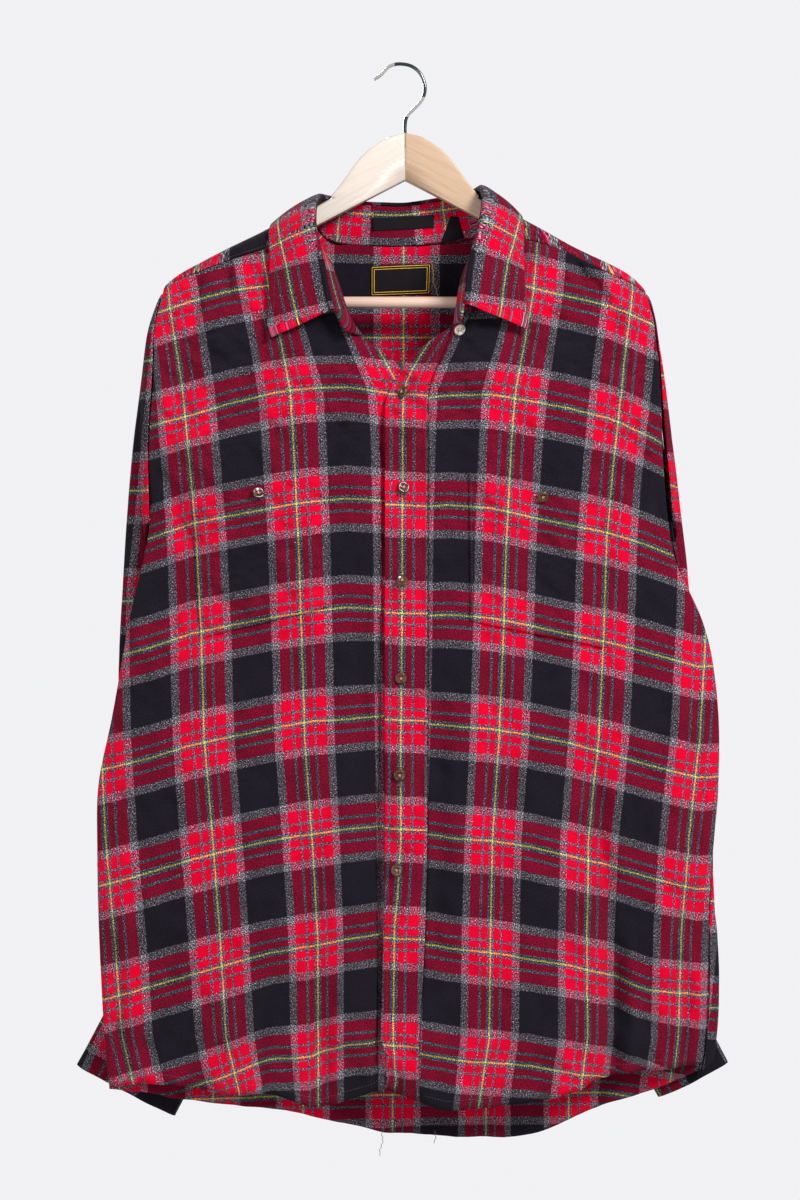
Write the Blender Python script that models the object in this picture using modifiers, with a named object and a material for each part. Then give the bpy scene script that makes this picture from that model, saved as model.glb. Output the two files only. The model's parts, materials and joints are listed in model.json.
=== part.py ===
"""A long-sleeved flannel shirt hanging on a wooden hanger.

Frame: the origin is the inside top of the hanger's hook, +Z is up, -Y is the shirt's
front and +X is the wearer's left. Every table below is in millimetres; the meshes are
built in metres. Each cloth piece is one sheet of points with a Solidify wall.
"""

import math

import bmesh
import bpy
import numpy as np
from mathutils import Vector
from mathutils.bvhtree import BVHTree

MM = 0.001

# ---------------------------------------------------------------- driving dimensions
CLOTH = 1.2  # wall of a single layer of flannel
DOUBLE = 1.8  # wall of a folded layer: placket, stand, leaf, cuffs
SEAM = 0.4  # gap between two pieces that are sewn edge to edge
SIDE_SEAM = 0.9  # the same at the side seams
PLACKET_SEAM = 0.5  # the same along the placket
SHOULDER_SEAM = 0.8  # the same between the fronts and the yoke
LAP = CLOTH / 2 + DOUBLE / 2 + 0.5  # placket and left front above the right front
POCKET_LIFT = CLOTH + 0.9  # pocket above the front that it is sewn on

ARMHOLE_TOP = -217.0
ARMHOLE_BOTTOM = -436.0
ARMHOLE_DEPTH = 14.0  # half of the armhole's opening, front to back

SIDE_GAP_TURN = 0.8  # the side seam's gap where the back comes round to the front
SIDE_GAP_MORE = 1.5  # how much wider it is where the back starts to come round
SIDE_GAP_FADE = 5.0  # over how many degrees of turn that fades
SIDE_LAST_TURN = 88.2  # the last column before the side seam, in degrees of the section
BACK_SEAM_Z = -308.0  # where the yoke meets the back
UNDERLAP_X = 13.0  # how far the right front runs under the placket

CROWN_REACH = 2.4  # powers of the section's rounding: how flat it is at the centre,
CROWN_FULLNESS = 0.62  # and how full near the side
FOLD_FADE = 40.0  # how far a fold fades beyond its two ends
EDGE_CALM = 8  # power that keeps the folds away from the side seams

PLACKET_TOP = -256.5
PLACKET_STRAIGHT = -333.0  # below this the placket hangs straight
ROW_CROWD = 2.0  # rows closer than this to an end are left out
RIGHT_NECK_END = -264.0  # where each front's neck seam ends
LEFT_NECK_END = -254.0

BUTTON_DIAMETER = 11.4
# The button's turned outline: share of its radius, and height above its back.
BUTTON_PROFILE = ((0, 1.5), (0.6, 1.6), (0.8, 2.4), (1, 1.5), (0.75, 0), (0, 0))
BUTTON_GAP = 0.35
BUTTON_SIDES = 14
LABEL = 1.0  # wall of a woven label
LABEL_GAP = 0.6

WOOD_THICKNESS = 11.0
WOOD_SLOPE = 0.545  # fall of the arms per millimetre outwards
WOOD_FORWARD = 0.13  # how far the arms bend forward per millimetre outwards
WOOD_HEIGHT = 19.5
WOOD_NOTCH_Z = -110.0
WOOD_REACH = 214.0
WOOD_JOINT = 0.3  # glue line between the two halves
WOOD_ROUND = 4.0  # radius of the arms' edges
WOOD_STATIONS = (7, 14, 22, 30, 38, 46, 54, 62, 70, 80, 110, 145)  # sections of an arm

WIRE_DIAMETER = 3.4
WIRE_SOCKET_DEPTH = 14.0
SOCKET_ROOM = 0.3  # between a socket's wall or floor and what sits in it
CUTTER_LENGTH_OVER = 20.0  # how far the hook socket's cutter stands out of the wood
BAR_DIAMETER = 11.0
BAR_Z = -230.0
BAR_Y = -26.0
BAR_HALF_LENGTH = 203.0


def table(columns, *rows):
    """Rows of numbers as one array for each named column, ordered by the first."""
    names = columns.split()
    values = np.array(sorted(rows), dtype=float).T
    found = dict(zip(names, values))
    found["key"] = values[0]
    return found


def calm_slopes(keys, values):
    """Slopes at the rows that keep the curve from running past any row's value."""
    steps = np.diff(values) / np.diff(keys)
    before, after = steps[:-1], steps[1:]
    same_way = before * after > 0
    total = np.where(same_way, before + after, 1.0)
    inner = np.where(same_way, 2 * before * after / total, 0.0)
    return np.concatenate(([steps[0]], inner, [steps[-1]]))


def read(rows, column, at):
    """The column's value at this place of the table's first column, on a smooth curve."""
    keys = rows["key"]
    values = rows[column]
    at = min(max(at, keys[0]), keys[-1])
    i = int(min(max(np.searchsorted(keys, at) - 1, 0), len(keys) - 2))
    slopes = calm_slopes(keys, values)
    step = keys[i + 1] - keys[i]
    t = (at - keys[i]) / step
    ease = t * t * (3 - 2 * t)
    start = slopes[i] * step * t * (1 - t) ** 2
    end = slopes[i + 1] * step * t * t * (1 - t)
    return float(values[i] * (1 - ease) + values[i + 1] * ease + start - end)


# The body's sections: the outline's left and right, the depth of front, side and back,
# and how far the right side seam is turned to the front, in degrees of the section.
BODY = table(
    "z left right front side back turn",
    (-150, -222, 219, -44, -30, 13, 0),
    (-185, -224, 221, -46, -30, 13, 0),
    (-220, -229, 227.5, -49, -30, 12, 0),
    (-265, -235.5, 238, -52, -30, 11, 0),
    (-310, -238, 241, -55, -29, 10, 0),
    (-370, -241.5, 245, -57, -28, 9, 0),
    (-435, -241, 251, -58, -28, 8, 0),
    (-475, -249, 257, -59, -28, 8, 0),
    (-535, -262, 283, -60, -28, 7, 0),
    (-580, -270, 293, -61, -28, 7, 0),
    (-640, -281, 298, -61, -28, 6, 0),
    (-700, -292, 297, -61, -28, 6, 0),
    (-750, -292, 292, -61, -28, 6, 4),
    (-810, -291, 294, -60, -28, 6, 11.5),
    (-860, -289, 298, -58, -27, 5, 15),
    (-900, -287, 298, -56, -27, 5, 15),
    (-950, -284, 293, -53, -26, 4, 15),
    (-1000, -278, 288, -50, -25, 4, 15),
    (-1040, -274, 284, -48, -25, 4, 15),
)

# The placket's own strip: its folded edge and its stitched edge at each height.
PLACKET = table(
    "z edge stitch",
    (-995, -23, 13),
    (-936, -23, 13),
    (-850, -21, 18),
    (-700, -19, 21),
    (-333, -19, 21),
    (-311, -13, 23),
    (-295, -2, 29),
    (-280, 10, 36),
    (-268, 27, 40),
    (-260, 37, 43),
    (-256.5, 43.5, 45.5),
)

# The right front's free edge: under the placket, up the open neck, then the neck seam.
RIGHT_EDGE = table(
    "z x",
    (-1040, UNDERLAP_X - 8),
    (-936, UNDERLAP_X - 8),
    (-700, UNDERLAP_X),
    (-345, UNDERLAP_X),
    (-322, 8),
    (-306, 2),
    (-296, -4),
    (-288, -11),
    (-279, -21),
    (-271, -31),
    (-264, -41),
    (-242, -53),
    (-218, -61),
    (-195, -70),
    (-168, -88),
)

# The left front's neck seam above the placket's end.
LEFT_NECK = table(
    "z x",
    (-256, 46),
    (-239, 48),
    (-222, 50),
    (-196, 58),
    (-180, 68),
    (-164, 82),
)

FRONT_ROWS = (12, 12, 0.24)  # rows above and below, and how far down the upper ones reach
BACK_ROWS = 18

FRONT_HEM = table(
    "x z",
    (-290, -977),
    (-279, -975),
    (-229, -972),
    (-159, -980),
    (-128, -979),
    (-95, -990),
    (-79, -994),
    (-61, -987),
    (-35, -980),
    (-20, -973),
    (-6, -977),
    (7, -984),
    (39, -994),
    (80, -991),
    (132, -985),
    (168, -973),
    (192, -963),
    (252, -957),
    (298, -949),
)

BACK_HEM = table(
    "x z",
    (-290, -977),
    (-245, -985),
    (-197, -994),
    (-103, -1006),
    (-54, -1017),
    (-9, -1025),
    (62, -1029.5),
    (119, -1029),
    (150, -1014.5),
    (186, -998.5),
    (243, -980),
    (298, -952),
)

# The seam between yoke and front, and the cloth's crest over the hanger's arms.
SHOULDER = table(
    "x seam crest",
    (-232, -219.5, -218),
    (-220, -212.5, -208),
    (-197, -203, -194.5),
    (-167, -192, -178.3),
    (-129, -180, -159),
    (-103, -173, -144.0),
    (-84, -168, -134.5),
    (84, -165, -134.2),
    (97, -168, -141.3),
    (113, -172, -150.4),
    (147, -181, -168.6),
    (183, -199, -188),
    (214, -213, -205.5),
    (230, -221, -219.5),
)

# The yoke's neck edge from the front seam over the crest to the back, row by row.
NECK_RIGHT_X = (-88, -96, -102, -103, -99, -90, -88, -86, -84, -82)
NECK_LEFT_X = (82, 90, 96, 97, 93, 84, 82, 80, 78, 76)
YOKE_TURNS = (90, 60, 30, 0, -35, -65)  # degrees round the crest, from the front seam
YOKE_DROPS = (0.1, 0.35, 0.66, 1.0)  # share of the way down from there to the back seam
YOKE_BACK_ROUND = 22.0  # how far below the crest the back's rounding ends
YOKE_ROWS = len(YOKE_TURNS) + len(YOKE_DROPS)
YOKE_NECK_ROW = 5

BACK_NECK = table(
    "x z",
    (-90, -165.5),
    (-79, -170),
    (-57, -171.5),
    (-5, -173),
    (40, -170.5),
    (62, -167),
    (84, -162.5),
)

# The stand's upper edge, by the share of the neck seam's length from the right front end.
STAND_TOP = table(
    "share x y z",
    (0.0, -55, -70, -262),
    (0.04, -66, -72, -241),
    (0.09, -72, -72, -217),
    (0.145, -77, -70, -191),
    (0.2, -84, -62, -163),
    (0.25, -86, -44, -145),
    (0.3, -81, -13, -131.5),
    (0.36, -68, 3, -130.5),
    (0.43, -38, 13, -132),
    (0.51, -5, 16, -133),
    (0.59, 30, 13, -129),
    (0.66, 60, 4.5, -125.5),
    (0.715, 72, -12, -123.2),
    (0.765, 75, -42, -138.5),
    (0.81, 71, -63, -158),
    (0.87, 62, -72, -188),
    (0.93, 57, -76, -217),
    (0.965, 55, -77, -236),
    (1.0, 52, -75, -253),
)

# The leaf's outer edge, by the same share.
LEAF_EDGE = table(
    "share x y z",
    (0.04, -130, -58, -269),
    (0.09, -129, -57, -243),
    (0.145, -127.5, -55, -217),
    (0.2, -127.5, -51, -190),
    (0.25, -128.5, -43, -167),
    (0.3, -125.5, -18, -154.4),
    (0.33, -119, 5, -158.5),
    (0.37, -103, 17, -174),
    (0.43, -58, 25, -184),
    (0.51, -5, 27, -187),
    (0.59, 50, 25, -181),
    (0.65, 88, 17, -169),
    (0.69, 102, 7.6, -148.6),
    (0.715, 108.5, -16, -145.6),
    (0.765, 112, -44, -160),
    (0.81, 111.5, -51, -184),
    (0.87, 112, -56, -212),
    (0.93, 114, -58, -238),
    (0.965, 115.5, -59, -258),
)
LEAF_BELLY = 2.6  # how far the leaf stands out between its roll and its edge
LEAF_ROLL = ((0.8, 0.0), (2.8, 0.6), (3.6, 3.0), (2.6, 5.6))  # above and outside the stand
LEAF_DOWNS = (0.22, 0.46, 0.72, 1.0)  # shares of the way from the roll down to the edge
STAND_UPS = (0, 0.35, 0.7, 1)  # shares of the way up the stand
NECK_CENTRE = np.array((-6.0, -15.0, -215.0))
LEAF_START = 0.04
LEAF_END = 0.965
# Columns of the collar: from one share of the neck seam to another, in so many steps.
COLLAR_STEPS = ((0, 0.17, 5), (0.17, 0.37, 11), (0.37, 0.64, 7), (0.64, 0.82, 10), (0.82, 1, 5))

# The largest folds: a trough (depth above 0, inwards) or a ridge (below 0) along a line.
FRONT_FOLDS = table(
    "x0 z0 x1 z1 depth width",
    (-228, -860, -236, -975, 5, 30),
    (-238, -450, -150, -560, 4, 32),
    (-96, -880, -80, -996, 5, 30),
    (-78, -300, -88, -720, -3, 40),
    (62, -290, 60, -660, -3, 40),
    (120, -900, 160, -985, -5, 34),
    (186, -700, 208, -960, 8, 30),
    (244, -440, 180, -590, 4, 32),
    (262, -860, 262, -960, 4, 30),
)
BACK_FOLDS = table(
    "x0 z0 x1 z1 depth width",
    (-205, -420, -175, -640, -5, 40),
    (-95, -330, -80, -700, 4, 44),
    (-40, -620, -60, -1010, -5, 46),
    (15, -330, 10, -620, -3, 46),
    (88, -420, 100, -980, 5, 50),
    (195, -700, 205, -960, -4, 40),
)

# Sections of a sleeve from its armhole down: the outer fold, the inner fold, half of the
# depth between its two layers, and how far both layers bow out sideways.
RIGHT_SLEEVE = table(
    "row ox oy oz ix iy iz depth bow",
    (1, -243, -25, -262, -247.5, -14, -455, 13, -3.8),
    (2, -250.5, -17, -305, -244, 0, -476, 12, -4),
    (3, -259.5, -10, -365, -232, 9, -510, 12, -3.5),
    (4, -266, -4, -430, -206, 16, -556, 12, -1.5),
    (5, -271, 0, -505, -174, 21, -612, 12, 0),
    (6, -275, 2, -590, -146, 24, -668, 11, 0),
    (7, -276, 3, -672, -124, 25, -728, 10, 0),
    (8, -275, 3, -750, -118, 24, -790, 10, 0),
    (9, -278, 3, -815, -130, 21, -850, 10, 0),
    (10, -283, 4, -865, -156, 18, -912, 9, 0),
    (11, -287.4, 5, -902.4, -188.3, 14, -954.6, 9, 0),
)
LEFT_SLEEVE = table(
    "row ox oy oz ix iy iz depth bow",
    (1, 241.5, -25, -280, 256.5, -14, -455, 13, 3),
    (2, 247, -17, -312, 253, 0, -476, 12, 3.5),
    (3, 254, -10, -362, 240, 9, -510, 12, 3),
    (4, 261.5, -4, -422, 214, 16, -556, 12, 1.5),
    (5, 269.5, 0, -490, 182, 21, -612, 12, 0),
    (6, 276, 2, -580, 152, 24, -668, 11, 0),
    (7, 277, 3, -665, 132, 25, -728, 10, 0),
    (8, 277, 3, -745, 126, 24, -790, 10, 0),
    (9, 279, 3, -812, 140, 21, -845, 10, 0),
    (10, 281, 4, -862, 170, 18, -900, 11, 0),
    (11, 282.4, 5, -898, 208.3, 14, -936.7, 12, 0),
)
RIGHT_CUFF = table(
    "row ox oy oz ix iy iz depth bow",
    (0, -285, 5, -904.5, -193, 14, -953, 9, 0),
    (1, -300, 5, -933, -208, 13, -981.5, 9, 0),
    (2, -315, 5, -961, -223, 12, -1010, 10, 0),
)
LEFT_CUFF = table(
    "row ox oy oz ix iy iz depth bow",
    (0, 280, 5, -900, 213, 14, -935, 12, 0),
    (1, 295, 5, -929, 229, 13, -963.5, 12, 0),
    (2, 310, 5, -958, 245, 12, -992, 13, 0),
)
SLEEVE_STANDOFF = CLOTH + SEAM + 0.6  # the sleeve's first section outside the armhole
SLEEVE_POINTS = 18
SLEEVE_FULLNESS = 0.8  # power of a sleeve section's rounding

# Pocket corners in the front's own plane: top outer, top inner, bottom inner, bottom outer.
RIGHT_POCKET = ((-202, -412), (-72, -388), (-72, -520), (-193, -549))
LEFT_POCKET = ((193, -414), (60, -393), (61, -533), (187, -558))

BUTTON_PLACES = table(
    "row x z",
    (1, -1, -318),
    (2, -2, -408),
    (3, -3, -496),
    (4, -4, -586),
    (5, -5, -677),
    (6, -7, -766),
)
RIGHT_POCKET_BUTTON = (-138, -413)
LEFT_POCKET_BUTTON = (129, -415)
COLLAR_BUTTON = (53, -261)
RIGHT_CUFF_BUTTON = (-235, -960)
LEFT_CUFF_BUTTON = (250, -945)

# Corners of the woven labels inside the neck: two upper ones, then two lower ones.
LABEL_STRIP = ((-32, -144.5), (28, -141.5), (28, -154), (-32, -157))
LABEL_PATCH = ((-33, -191), (25, -188.5), (24, -218), (-33, -220))
LABEL_CARE = ((44, -143), (51, -144), (57, -164), (34, -170))

# The hanger's upper outline near its neck; further out the arms are straight.
WOOD_NECK = table(
    "x top",
    (0, -65),
    (13, -67.5),
    (27, -76),
    (40, -87),
    (50, -100.5),
    (58, -112),
    (70, -126.3),
    (80, -134.1),
)
# The arm's end drops to carry the bar.
WOOD_END = table(
    "x bottom top",
    (172, -203.7, -184),
    (184, -214, -190.7),
    (192, -232, -195.2),
    (198, -240, -198.7),
    (206, -240, -203.5),
    (211, -233, -208.5),
    (WOOD_REACH, -225, -216),
)
HOOK_ROUTE = (
    (-30, -13),
    (-23, -8.5),
    (-16.5, -1.5),
    (-9.5, 1.6),
    (-1, 1.7),
    (7, -0.6),
    (14.5, -7),
    (19, -18),
    (18, -29),
    (12, -38),
    (3, -47),
    (0.3, -54),
    (0, -64),
)

CLOTH_RED = (0.55, 0.02, 0.05, 1.0)
WOOD_COLOUR = (0.72, 0.52, 0.33, 1.0)
BAR_COLOUR = (0.78, 0.56, 0.45, 1.0)
HORN_COLOUR = (0.16, 0.10, 0.06, 1.0)
STEEL_COLOUR = (0.55, 0.55, 0.56, 1.0)
LABEL_COLOUR = (0.02, 0.02, 0.03, 1.0)


# ---------------------------------------------------------------- Blender helpers
def collection(name):
    """A new collection of the scene."""
    found = bpy.data.collections.new(name)
    bpy.context.scene.collection.children.link(found)
    return found


def material(name, colour, roughness, metallic=0.0):
    """A Principled material with one colour."""
    found = bpy.data.materials.new(name)
    found.use_nodes = True
    shader = found.node_tree.nodes["Principled BSDF"]
    shader.inputs["Base Color"].default_value = colour
    shader.inputs["Roughness"].default_value = roughness
    shader.inputs["Metallic"].default_value = metallic
    return found


def add_object(name, mesh, finish, home):
    """An object of this mesh, in its collection and with its material."""
    mesh.materials.append(finish)
    found = bpy.data.objects.new(name, mesh)
    home.objects.link(found)
    return found


def grid_faces(columns, rows, closed, first_rows):
    """Quads of a grid, of point numbers by column and row; a column may start lower."""
    count = columns if closed else columns - 1
    for i in range(count):
        j = (i + 1) % columns
        for r in range(max(first_rows[i], first_rows[j]), rows - 1):
            yield (i * rows + r, i * rows + r + 1, j * rows + r + 1, j * rows + r)


def sheet_mesh(name, columns, closed=False, first_rows=None, flip=False):
    """A sheet through columns of points; columns that start lower leave a gap above."""
    rows = len(columns[0])
    starts = first_rows or [0] * len(columns)
    faces = list(grid_faces(len(columns), rows, closed, starts))
    if flip:
        faces = [face[::-1] for face in faces]
    mesh = bpy.data.meshes.new(name)
    points = [Vector(p) * MM for column in columns for p in column]
    mesh.from_pydata(points, [], faces)
    sheet = bmesh.new()
    sheet.from_mesh(mesh)
    loose = [v for v in sheet.verts if not v.link_faces]
    bmesh.ops.delete(sheet, geom=loose, context="VERTS")
    sheet.to_mesh(mesh)
    sheet.free()
    mesh.shade_smooth()
    return mesh


def cloth(name, columns, finish, home, wall=CLOTH, even=True, **kinds):
    """A cloth piece: the sheet with its wall, half on each side."""
    piece = add_object(name, sheet_mesh(name, columns, **kinds), finish, home)
    solidify = piece.modifiers.new("wall", "SOLIDIFY")
    solidify.thickness = wall * MM
    solidify.offset = 0
    solidify.use_even_offset = even
    solidify.thickness_clamp = 0
    return piece


def surface_of(columns, first_rows=None):
    """The sheet's faces as a tree that rays can hit, in millimetres."""
    rows = len(columns[0])
    points = [Vector(p) for column in columns for p in column]
    starts = first_rows or [0] * len(columns)
    faces = list(grid_faces(len(columns), rows, False, starts))
    return BVHTree.FromPolygons(points, faces)


def depth_on(surface, x, z, fallback):
    """Where a line along the depth meets the sheet, or the given depth where it misses."""
    hit = surface.ray_cast(Vector((x, -400, z)), Vector((0, 1, 0)))[0]
    return hit.y if hit else fallback


def place_on(surface, x, z, lift, from_behind=False):
    """A point this far off the sheet and the way that the sheet faces there."""
    way = Vector((0, -1 if from_behind else 1, 0))
    hit, normal = surface.ray_cast(Vector((x, 0, z)) - way * 400, way)[:2]
    if normal.dot(way) > 0:
        normal = -normal
    return hit + normal * lift, normal


def blend(a, b, t):
    """The value a share t of the way from a to b."""
    return a + (b - a) * t


def unit(vector):
    """The vector at length 1."""
    return vector / np.linalg.norm(vector)


def blend_points(a, b, t):
    """The point a share t of the way from a to b."""
    return tuple(blend(p, q, t) for p, q in zip(a, b))


# ---------------------------------------------------------------- the body's surfaces
def middle_x(z):
    """The shirt's centre line, along the middle of the placket below the neck."""
    low = min(z, PLACKET_STRAIGHT)
    return (read(PLACKET, "edge", low) + read(PLACKET, "stitch", low)) / 2


def side_x(z, side):
    """The outline at this height: side -1 is the wearer's right, +1 the left."""
    return read(BODY, "left" if side < 0 else "right", z)


def seam_share(z, side):
    """How far out the side seam is, as a share of the half width."""
    if side < 0:
        return 1.0
    return math.cos(math.radians(read(BODY, "turn", z)))


def armhole_half(z):
    """Half of the armhole's opening at this height, front to back."""
    middle = (ARMHOLE_TOP + ARMHOLE_BOTTOM) / 2
    reach = (ARMHOLE_TOP - ARMHOLE_BOTTOM) / 2
    place = min(abs(z - middle) / reach, 1.0)
    return ARMHOLE_DEPTH * math.sqrt(1 - place**3)


def crown(share):
    """The section's rounding: 1 at the centre, 0 at the side, with upright ends."""
    return max(1 - min(share, 1.0) ** CROWN_REACH, 0.0) ** CROWN_FULLNESS


def fold_relief(folds, x, z):
    """The folds' depth at a place: each fades across its width and at its two ends."""
    total = 0.0
    for i in range(len(folds["key"])):
        start = np.array((folds["x0"][i], folds["z0"][i]))
        run = np.array((folds["x1"][i], folds["z1"][i])) - start
        length = np.hypot(*run)
        share = float(np.dot(np.array((x, z)) - start, run)) / length**2
        across = abs(run[0] * (z - start[1]) - run[1] * (x - start[0])) / length
        beyond = max(-share, share - 1, 0.0) * length
        fade = math.exp(-((across / folds["width"][i]) ** 2) - (beyond / FOLD_FADE) ** 2)
        total += folds["depth"][i] * fade
    return total


def half_share(x, z):
    """How far a place is from the centre line to the outline, 0 to 1, and its side."""
    middle = middle_x(z)
    side = -1 if x < middle else 1
    share = (x - middle) / (side_x(z, side) - middle)
    return min(share, 1.0), side


def front_depth(x, z):
    """The front's depth at a place."""
    share, _ = half_share(x, z)
    edge = read(BODY, "side", z) - armhole_half(z) - SIDE_SEAM / 2
    calm = 1 - min(share, 1.0) ** EDGE_CALM
    return blend(edge, read(BODY, "front", z), crown(share)) + calm * fold_relief(
        FRONT_FOLDS, x, z
    )


def left_front_depth(x, z):
    """The left front's depth: it starts at the placket's level and ends at the seam."""
    share, _ = half_share(x, z)
    return front_depth(x, z) - LAP * (1 - max(share, 0.0))


def back_depth(x, z):
    """The back's depth at a place."""
    share, _ = half_share(x, z)
    edge = read(BODY, "side", z) + armhole_half(z) + SIDE_SEAM / 2
    calm = 1 - min(share, 1.0) ** EDGE_CALM
    return blend(edge, read(BODY, "back", z), crown(share)) + calm * fold_relief(
        BACK_FOLDS, x, z
    )


def settle(place, height, start):
    """The height z where height(place(z)) is z, found by stepping."""
    z = start
    for _ in range(24):
        z = height(place(z))
    return z


def row_shares(upper_rows, lower_rows, upper_share):
    """Shares down a panel, with closer rows in its upper part."""
    upper = [upper_share * i / upper_rows for i in range(upper_rows)]
    lower = [blend(upper_share, 1, i / lower_rows) for i in range(lower_rows + 1)]
    return upper + lower


# ---------------------------------------------------------------- fronts, placket, back
def left_edge_x(z):
    """The left front's edge: the placket's stitched edge, then the neck seam."""
    if z <= PLACKET_TOP:
        return read(PLACKET, "stitch", z) + PLACKET_SEAM
    return read(LEFT_NECK, "x", z)


def right_edge_x(z):
    """The right front's free edge and neck seam."""
    return read(RIGHT_EDGE, "x", z)


def front_columns(edge_x, depth, side, count=14):
    """Columns of a front from its free edge to the side, each from yoke seam to hem."""
    shares = row_shares(*FRONT_ROWS)
    columns = []
    for turn in [90 * i / count for i in range(count)] + [SIDE_LAST_TURN, 90]:
        out = math.sin(math.radians(turn))

        def place(z, out=out):
            end = blend(middle_x(z), side_x(z, side), seam_share(z, side))
            return blend(edge_x(z), end, out)

        top = settle(place, lambda x: read(SHOULDER, "seam", x), -190) - SHOULDER_SEAM / 2
        hem = settle(place, lambda x: read(FRONT_HEM, "z", x), -980)
        column = []
        for share in shares:
            z = blend(top, hem, share)
            x = place(z)
            column.append((x, depth(x, z), z))
        columns.append(column)
    return columns


def placket_columns(left_edge, count=4):
    """Columns of the placket from its folded edge to the left front's edge column."""
    heights = [p[2] for p in left_edge][::-1]
    stitches = [p[0] for p in left_edge][::-1]
    lowest = heights[0]
    rows = [PLACKET_TOP] + [z for z in heights[::-1] if z < PLACKET_TOP - ROW_CROWD]
    columns = []
    for i in range(count + 1):

        def place(z, share=i / count):
            stitch = np.interp(z, heights, stitches) - PLACKET_SEAM
            return blend(read(PLACKET, "edge", z), stitch, share)

        hem = settle(place, lambda x: read(FRONT_HEM, "z", x), -985)
        column = []
        for row in rows:
            z = blend(PLACKET_TOP, hem, (row - PLACKET_TOP) / (lowest - PLACKET_TOP))
            x = place(z)
            column.append((x, front_depth(x, z) - LAP, z))
        columns.append(column)
    return columns


def back_columns(count=22):
    """Columns of the back from side to side, each from the yoke's seam to the hem."""
    inner = [180 * i / count - 90 for i in range(1, count)]
    columns = []
    for turn in [-90, -SIDE_LAST_TURN] + inner + [SIDE_LAST_TURN, 90]:

        def angle(z, turn=turn):
            wrap = read(BODY, "turn", z)
            gap = SIDE_GAP_TURN + SIDE_GAP_MORE * math.exp(-wrap / SIDE_GAP_FADE)
            return turn + max(wrap - gap, 0) * max(turn, 0) / 90

        def place(z, angle=angle):
            degrees = angle(z)
            side = -1 if degrees < 0 else 1
            out = abs(math.sin(math.radians(degrees)))
            return blend(middle_x(z), side_x(z, side), out)

        hem = settle(place, lambda x: read(BACK_HEM, "z", x), -1000)
        column = []
        for r in range(BACK_ROWS + 1):
            z = blend(BACK_SEAM_Z - SEAM / 2, hem, r / BACK_ROWS)
            x = place(z)
            depth = front_depth if angle(z) > 90 else back_depth
            column.append((x, depth(x, z), z))
        columns.append(column)
    return columns


# ---------------------------------------------------------------- yoke and neck
def arm_y(x):
    """The middle depth of the hanger's arm."""
    return -WOOD_FORWARD * abs(x)


def yoke_point(x, row):
    """A point of the yoke over the hanger's arm, in the row's place round the crest."""
    seam = read(SHOULDER, "seam", x) + SHOULDER_SEAM / 2
    crest = read(SHOULDER, "crest", x)
    if row < len(YOKE_TURNS):
        turn = math.radians(YOKE_TURNS[row])
        if turn > 0:
            y = blend(arm_y(x), front_depth(x, seam), math.sin(turn))
            return (x, y, blend(seam, crest, math.cos(turn)))
        z = crest - YOKE_BACK_ROUND * (1 - math.cos(turn))
        return (x, blend(arm_y(x), back_depth(x, z), -math.sin(turn)), z)
    start = crest - YOKE_BACK_ROUND * (1 - math.cos(math.radians(YOKE_TURNS[-1])))
    z = blend(start, BACK_SEAM_Z + SEAM / 2, YOKE_DROPS[row - len(YOKE_TURNS)])
    return (x, back_depth(x, z), z)


def yoke_shoulder(neck_x, side, count=8):
    """Columns of one shoulder of the yoke, from the neck out to the armhole."""
    columns = []
    for i in range(count + 1):
        column = []
        for row in range(YOKE_ROWS):
            tip = side_x(ARMHOLE_TOP, side)
            for _ in range(6):
                tip = side_x(yoke_point(tip, row)[2], side)
            column.append(yoke_point(blend(neck_x[row], tip, i / count), row))
        columns.append(column)
    return columns


def yoke_back_neck(count=10):
    """Columns of the yoke between its two shoulders, from the back neck down."""
    columns = []
    for i in range(1, count):
        column = []
        for row in range(YOKE_ROWS):
            x = blend(NECK_RIGHT_X[row], NECK_LEFT_X[row], i / count)
            lower = row - len(YOKE_TURNS)
            share = YOKE_DROPS[lower] if lower >= 0 else 0
            z = blend(read(BACK_NECK, "z", x), BACK_SEAM_Z + SEAM / 2, share)
            column.append((x, back_depth(x, z), z))
        columns.append(column)
    return columns


def yoke_columns():
    """The whole yoke from the right armhole to the left, and each column's first row."""
    right = yoke_shoulder(NECK_RIGHT_X, -1)[::-1]
    left = yoke_shoulder(NECK_LEFT_X, 1)
    neck = yoke_back_neck()
    starts = [0] * len(right) + [YOKE_NECK_ROW] * len(neck) + [0] * len(left)
    return right + neck + left, starts


def edge_above(column, z):
    """The part of a column above this height, from its end upwards."""
    heights = [p[2] for p in column][::-1]
    end = tuple(np.interp(z, heights, [p[axis] for p in column][::-1]) for axis in range(3))
    return [end] + [p for p in column[::-1] if p[2] > z + ROW_CROWD]


def neck_seam(right, left, yoke, starts):
    """Points of the neck seam from the right front's end round to the left one's."""
    first = starts.index(YOKE_NECK_ROW)
    last = len(starts) - 1 - starts[::-1].index(YOKE_NECK_ROW)
    right_side = yoke[first - 1][: YOKE_NECK_ROW + 1]
    left_side = yoke[last + 1][: YOKE_NECK_ROW + 1]
    back = [column[YOKE_NECK_ROW] for column in yoke[first : last + 1]]
    right_front = edge_above(right[0], RIGHT_NECK_END)
    left_front = edge_above(left[0], LEFT_NECK_END)[::-1]
    return right_front + right_side + back + left_side[::-1] + left_front


def along(points, share):
    """The point at this share of a line of points, by length."""
    line = np.array(points)
    steps = np.linalg.norm(np.diff(line, axis=0), axis=1)
    total = np.concatenate(([0], np.cumsum(steps)))
    return np.array([np.interp(share * total[-1], total, axis) for axis in line.T])


def stand_point(seam, share, up):
    """A point of the collar stand: up is 0 at the neck seam and 1 at its upper edge."""
    bottom = along(seam, share)
    top = np.array([read(STAND_TOP, axis, share) for axis in "xyz"])
    rise = unit(top - bottom)
    start = bottom + rise * (DOUBLE / 2 + SHOULDER_SEAM)
    return start + (top - start) * up


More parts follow.
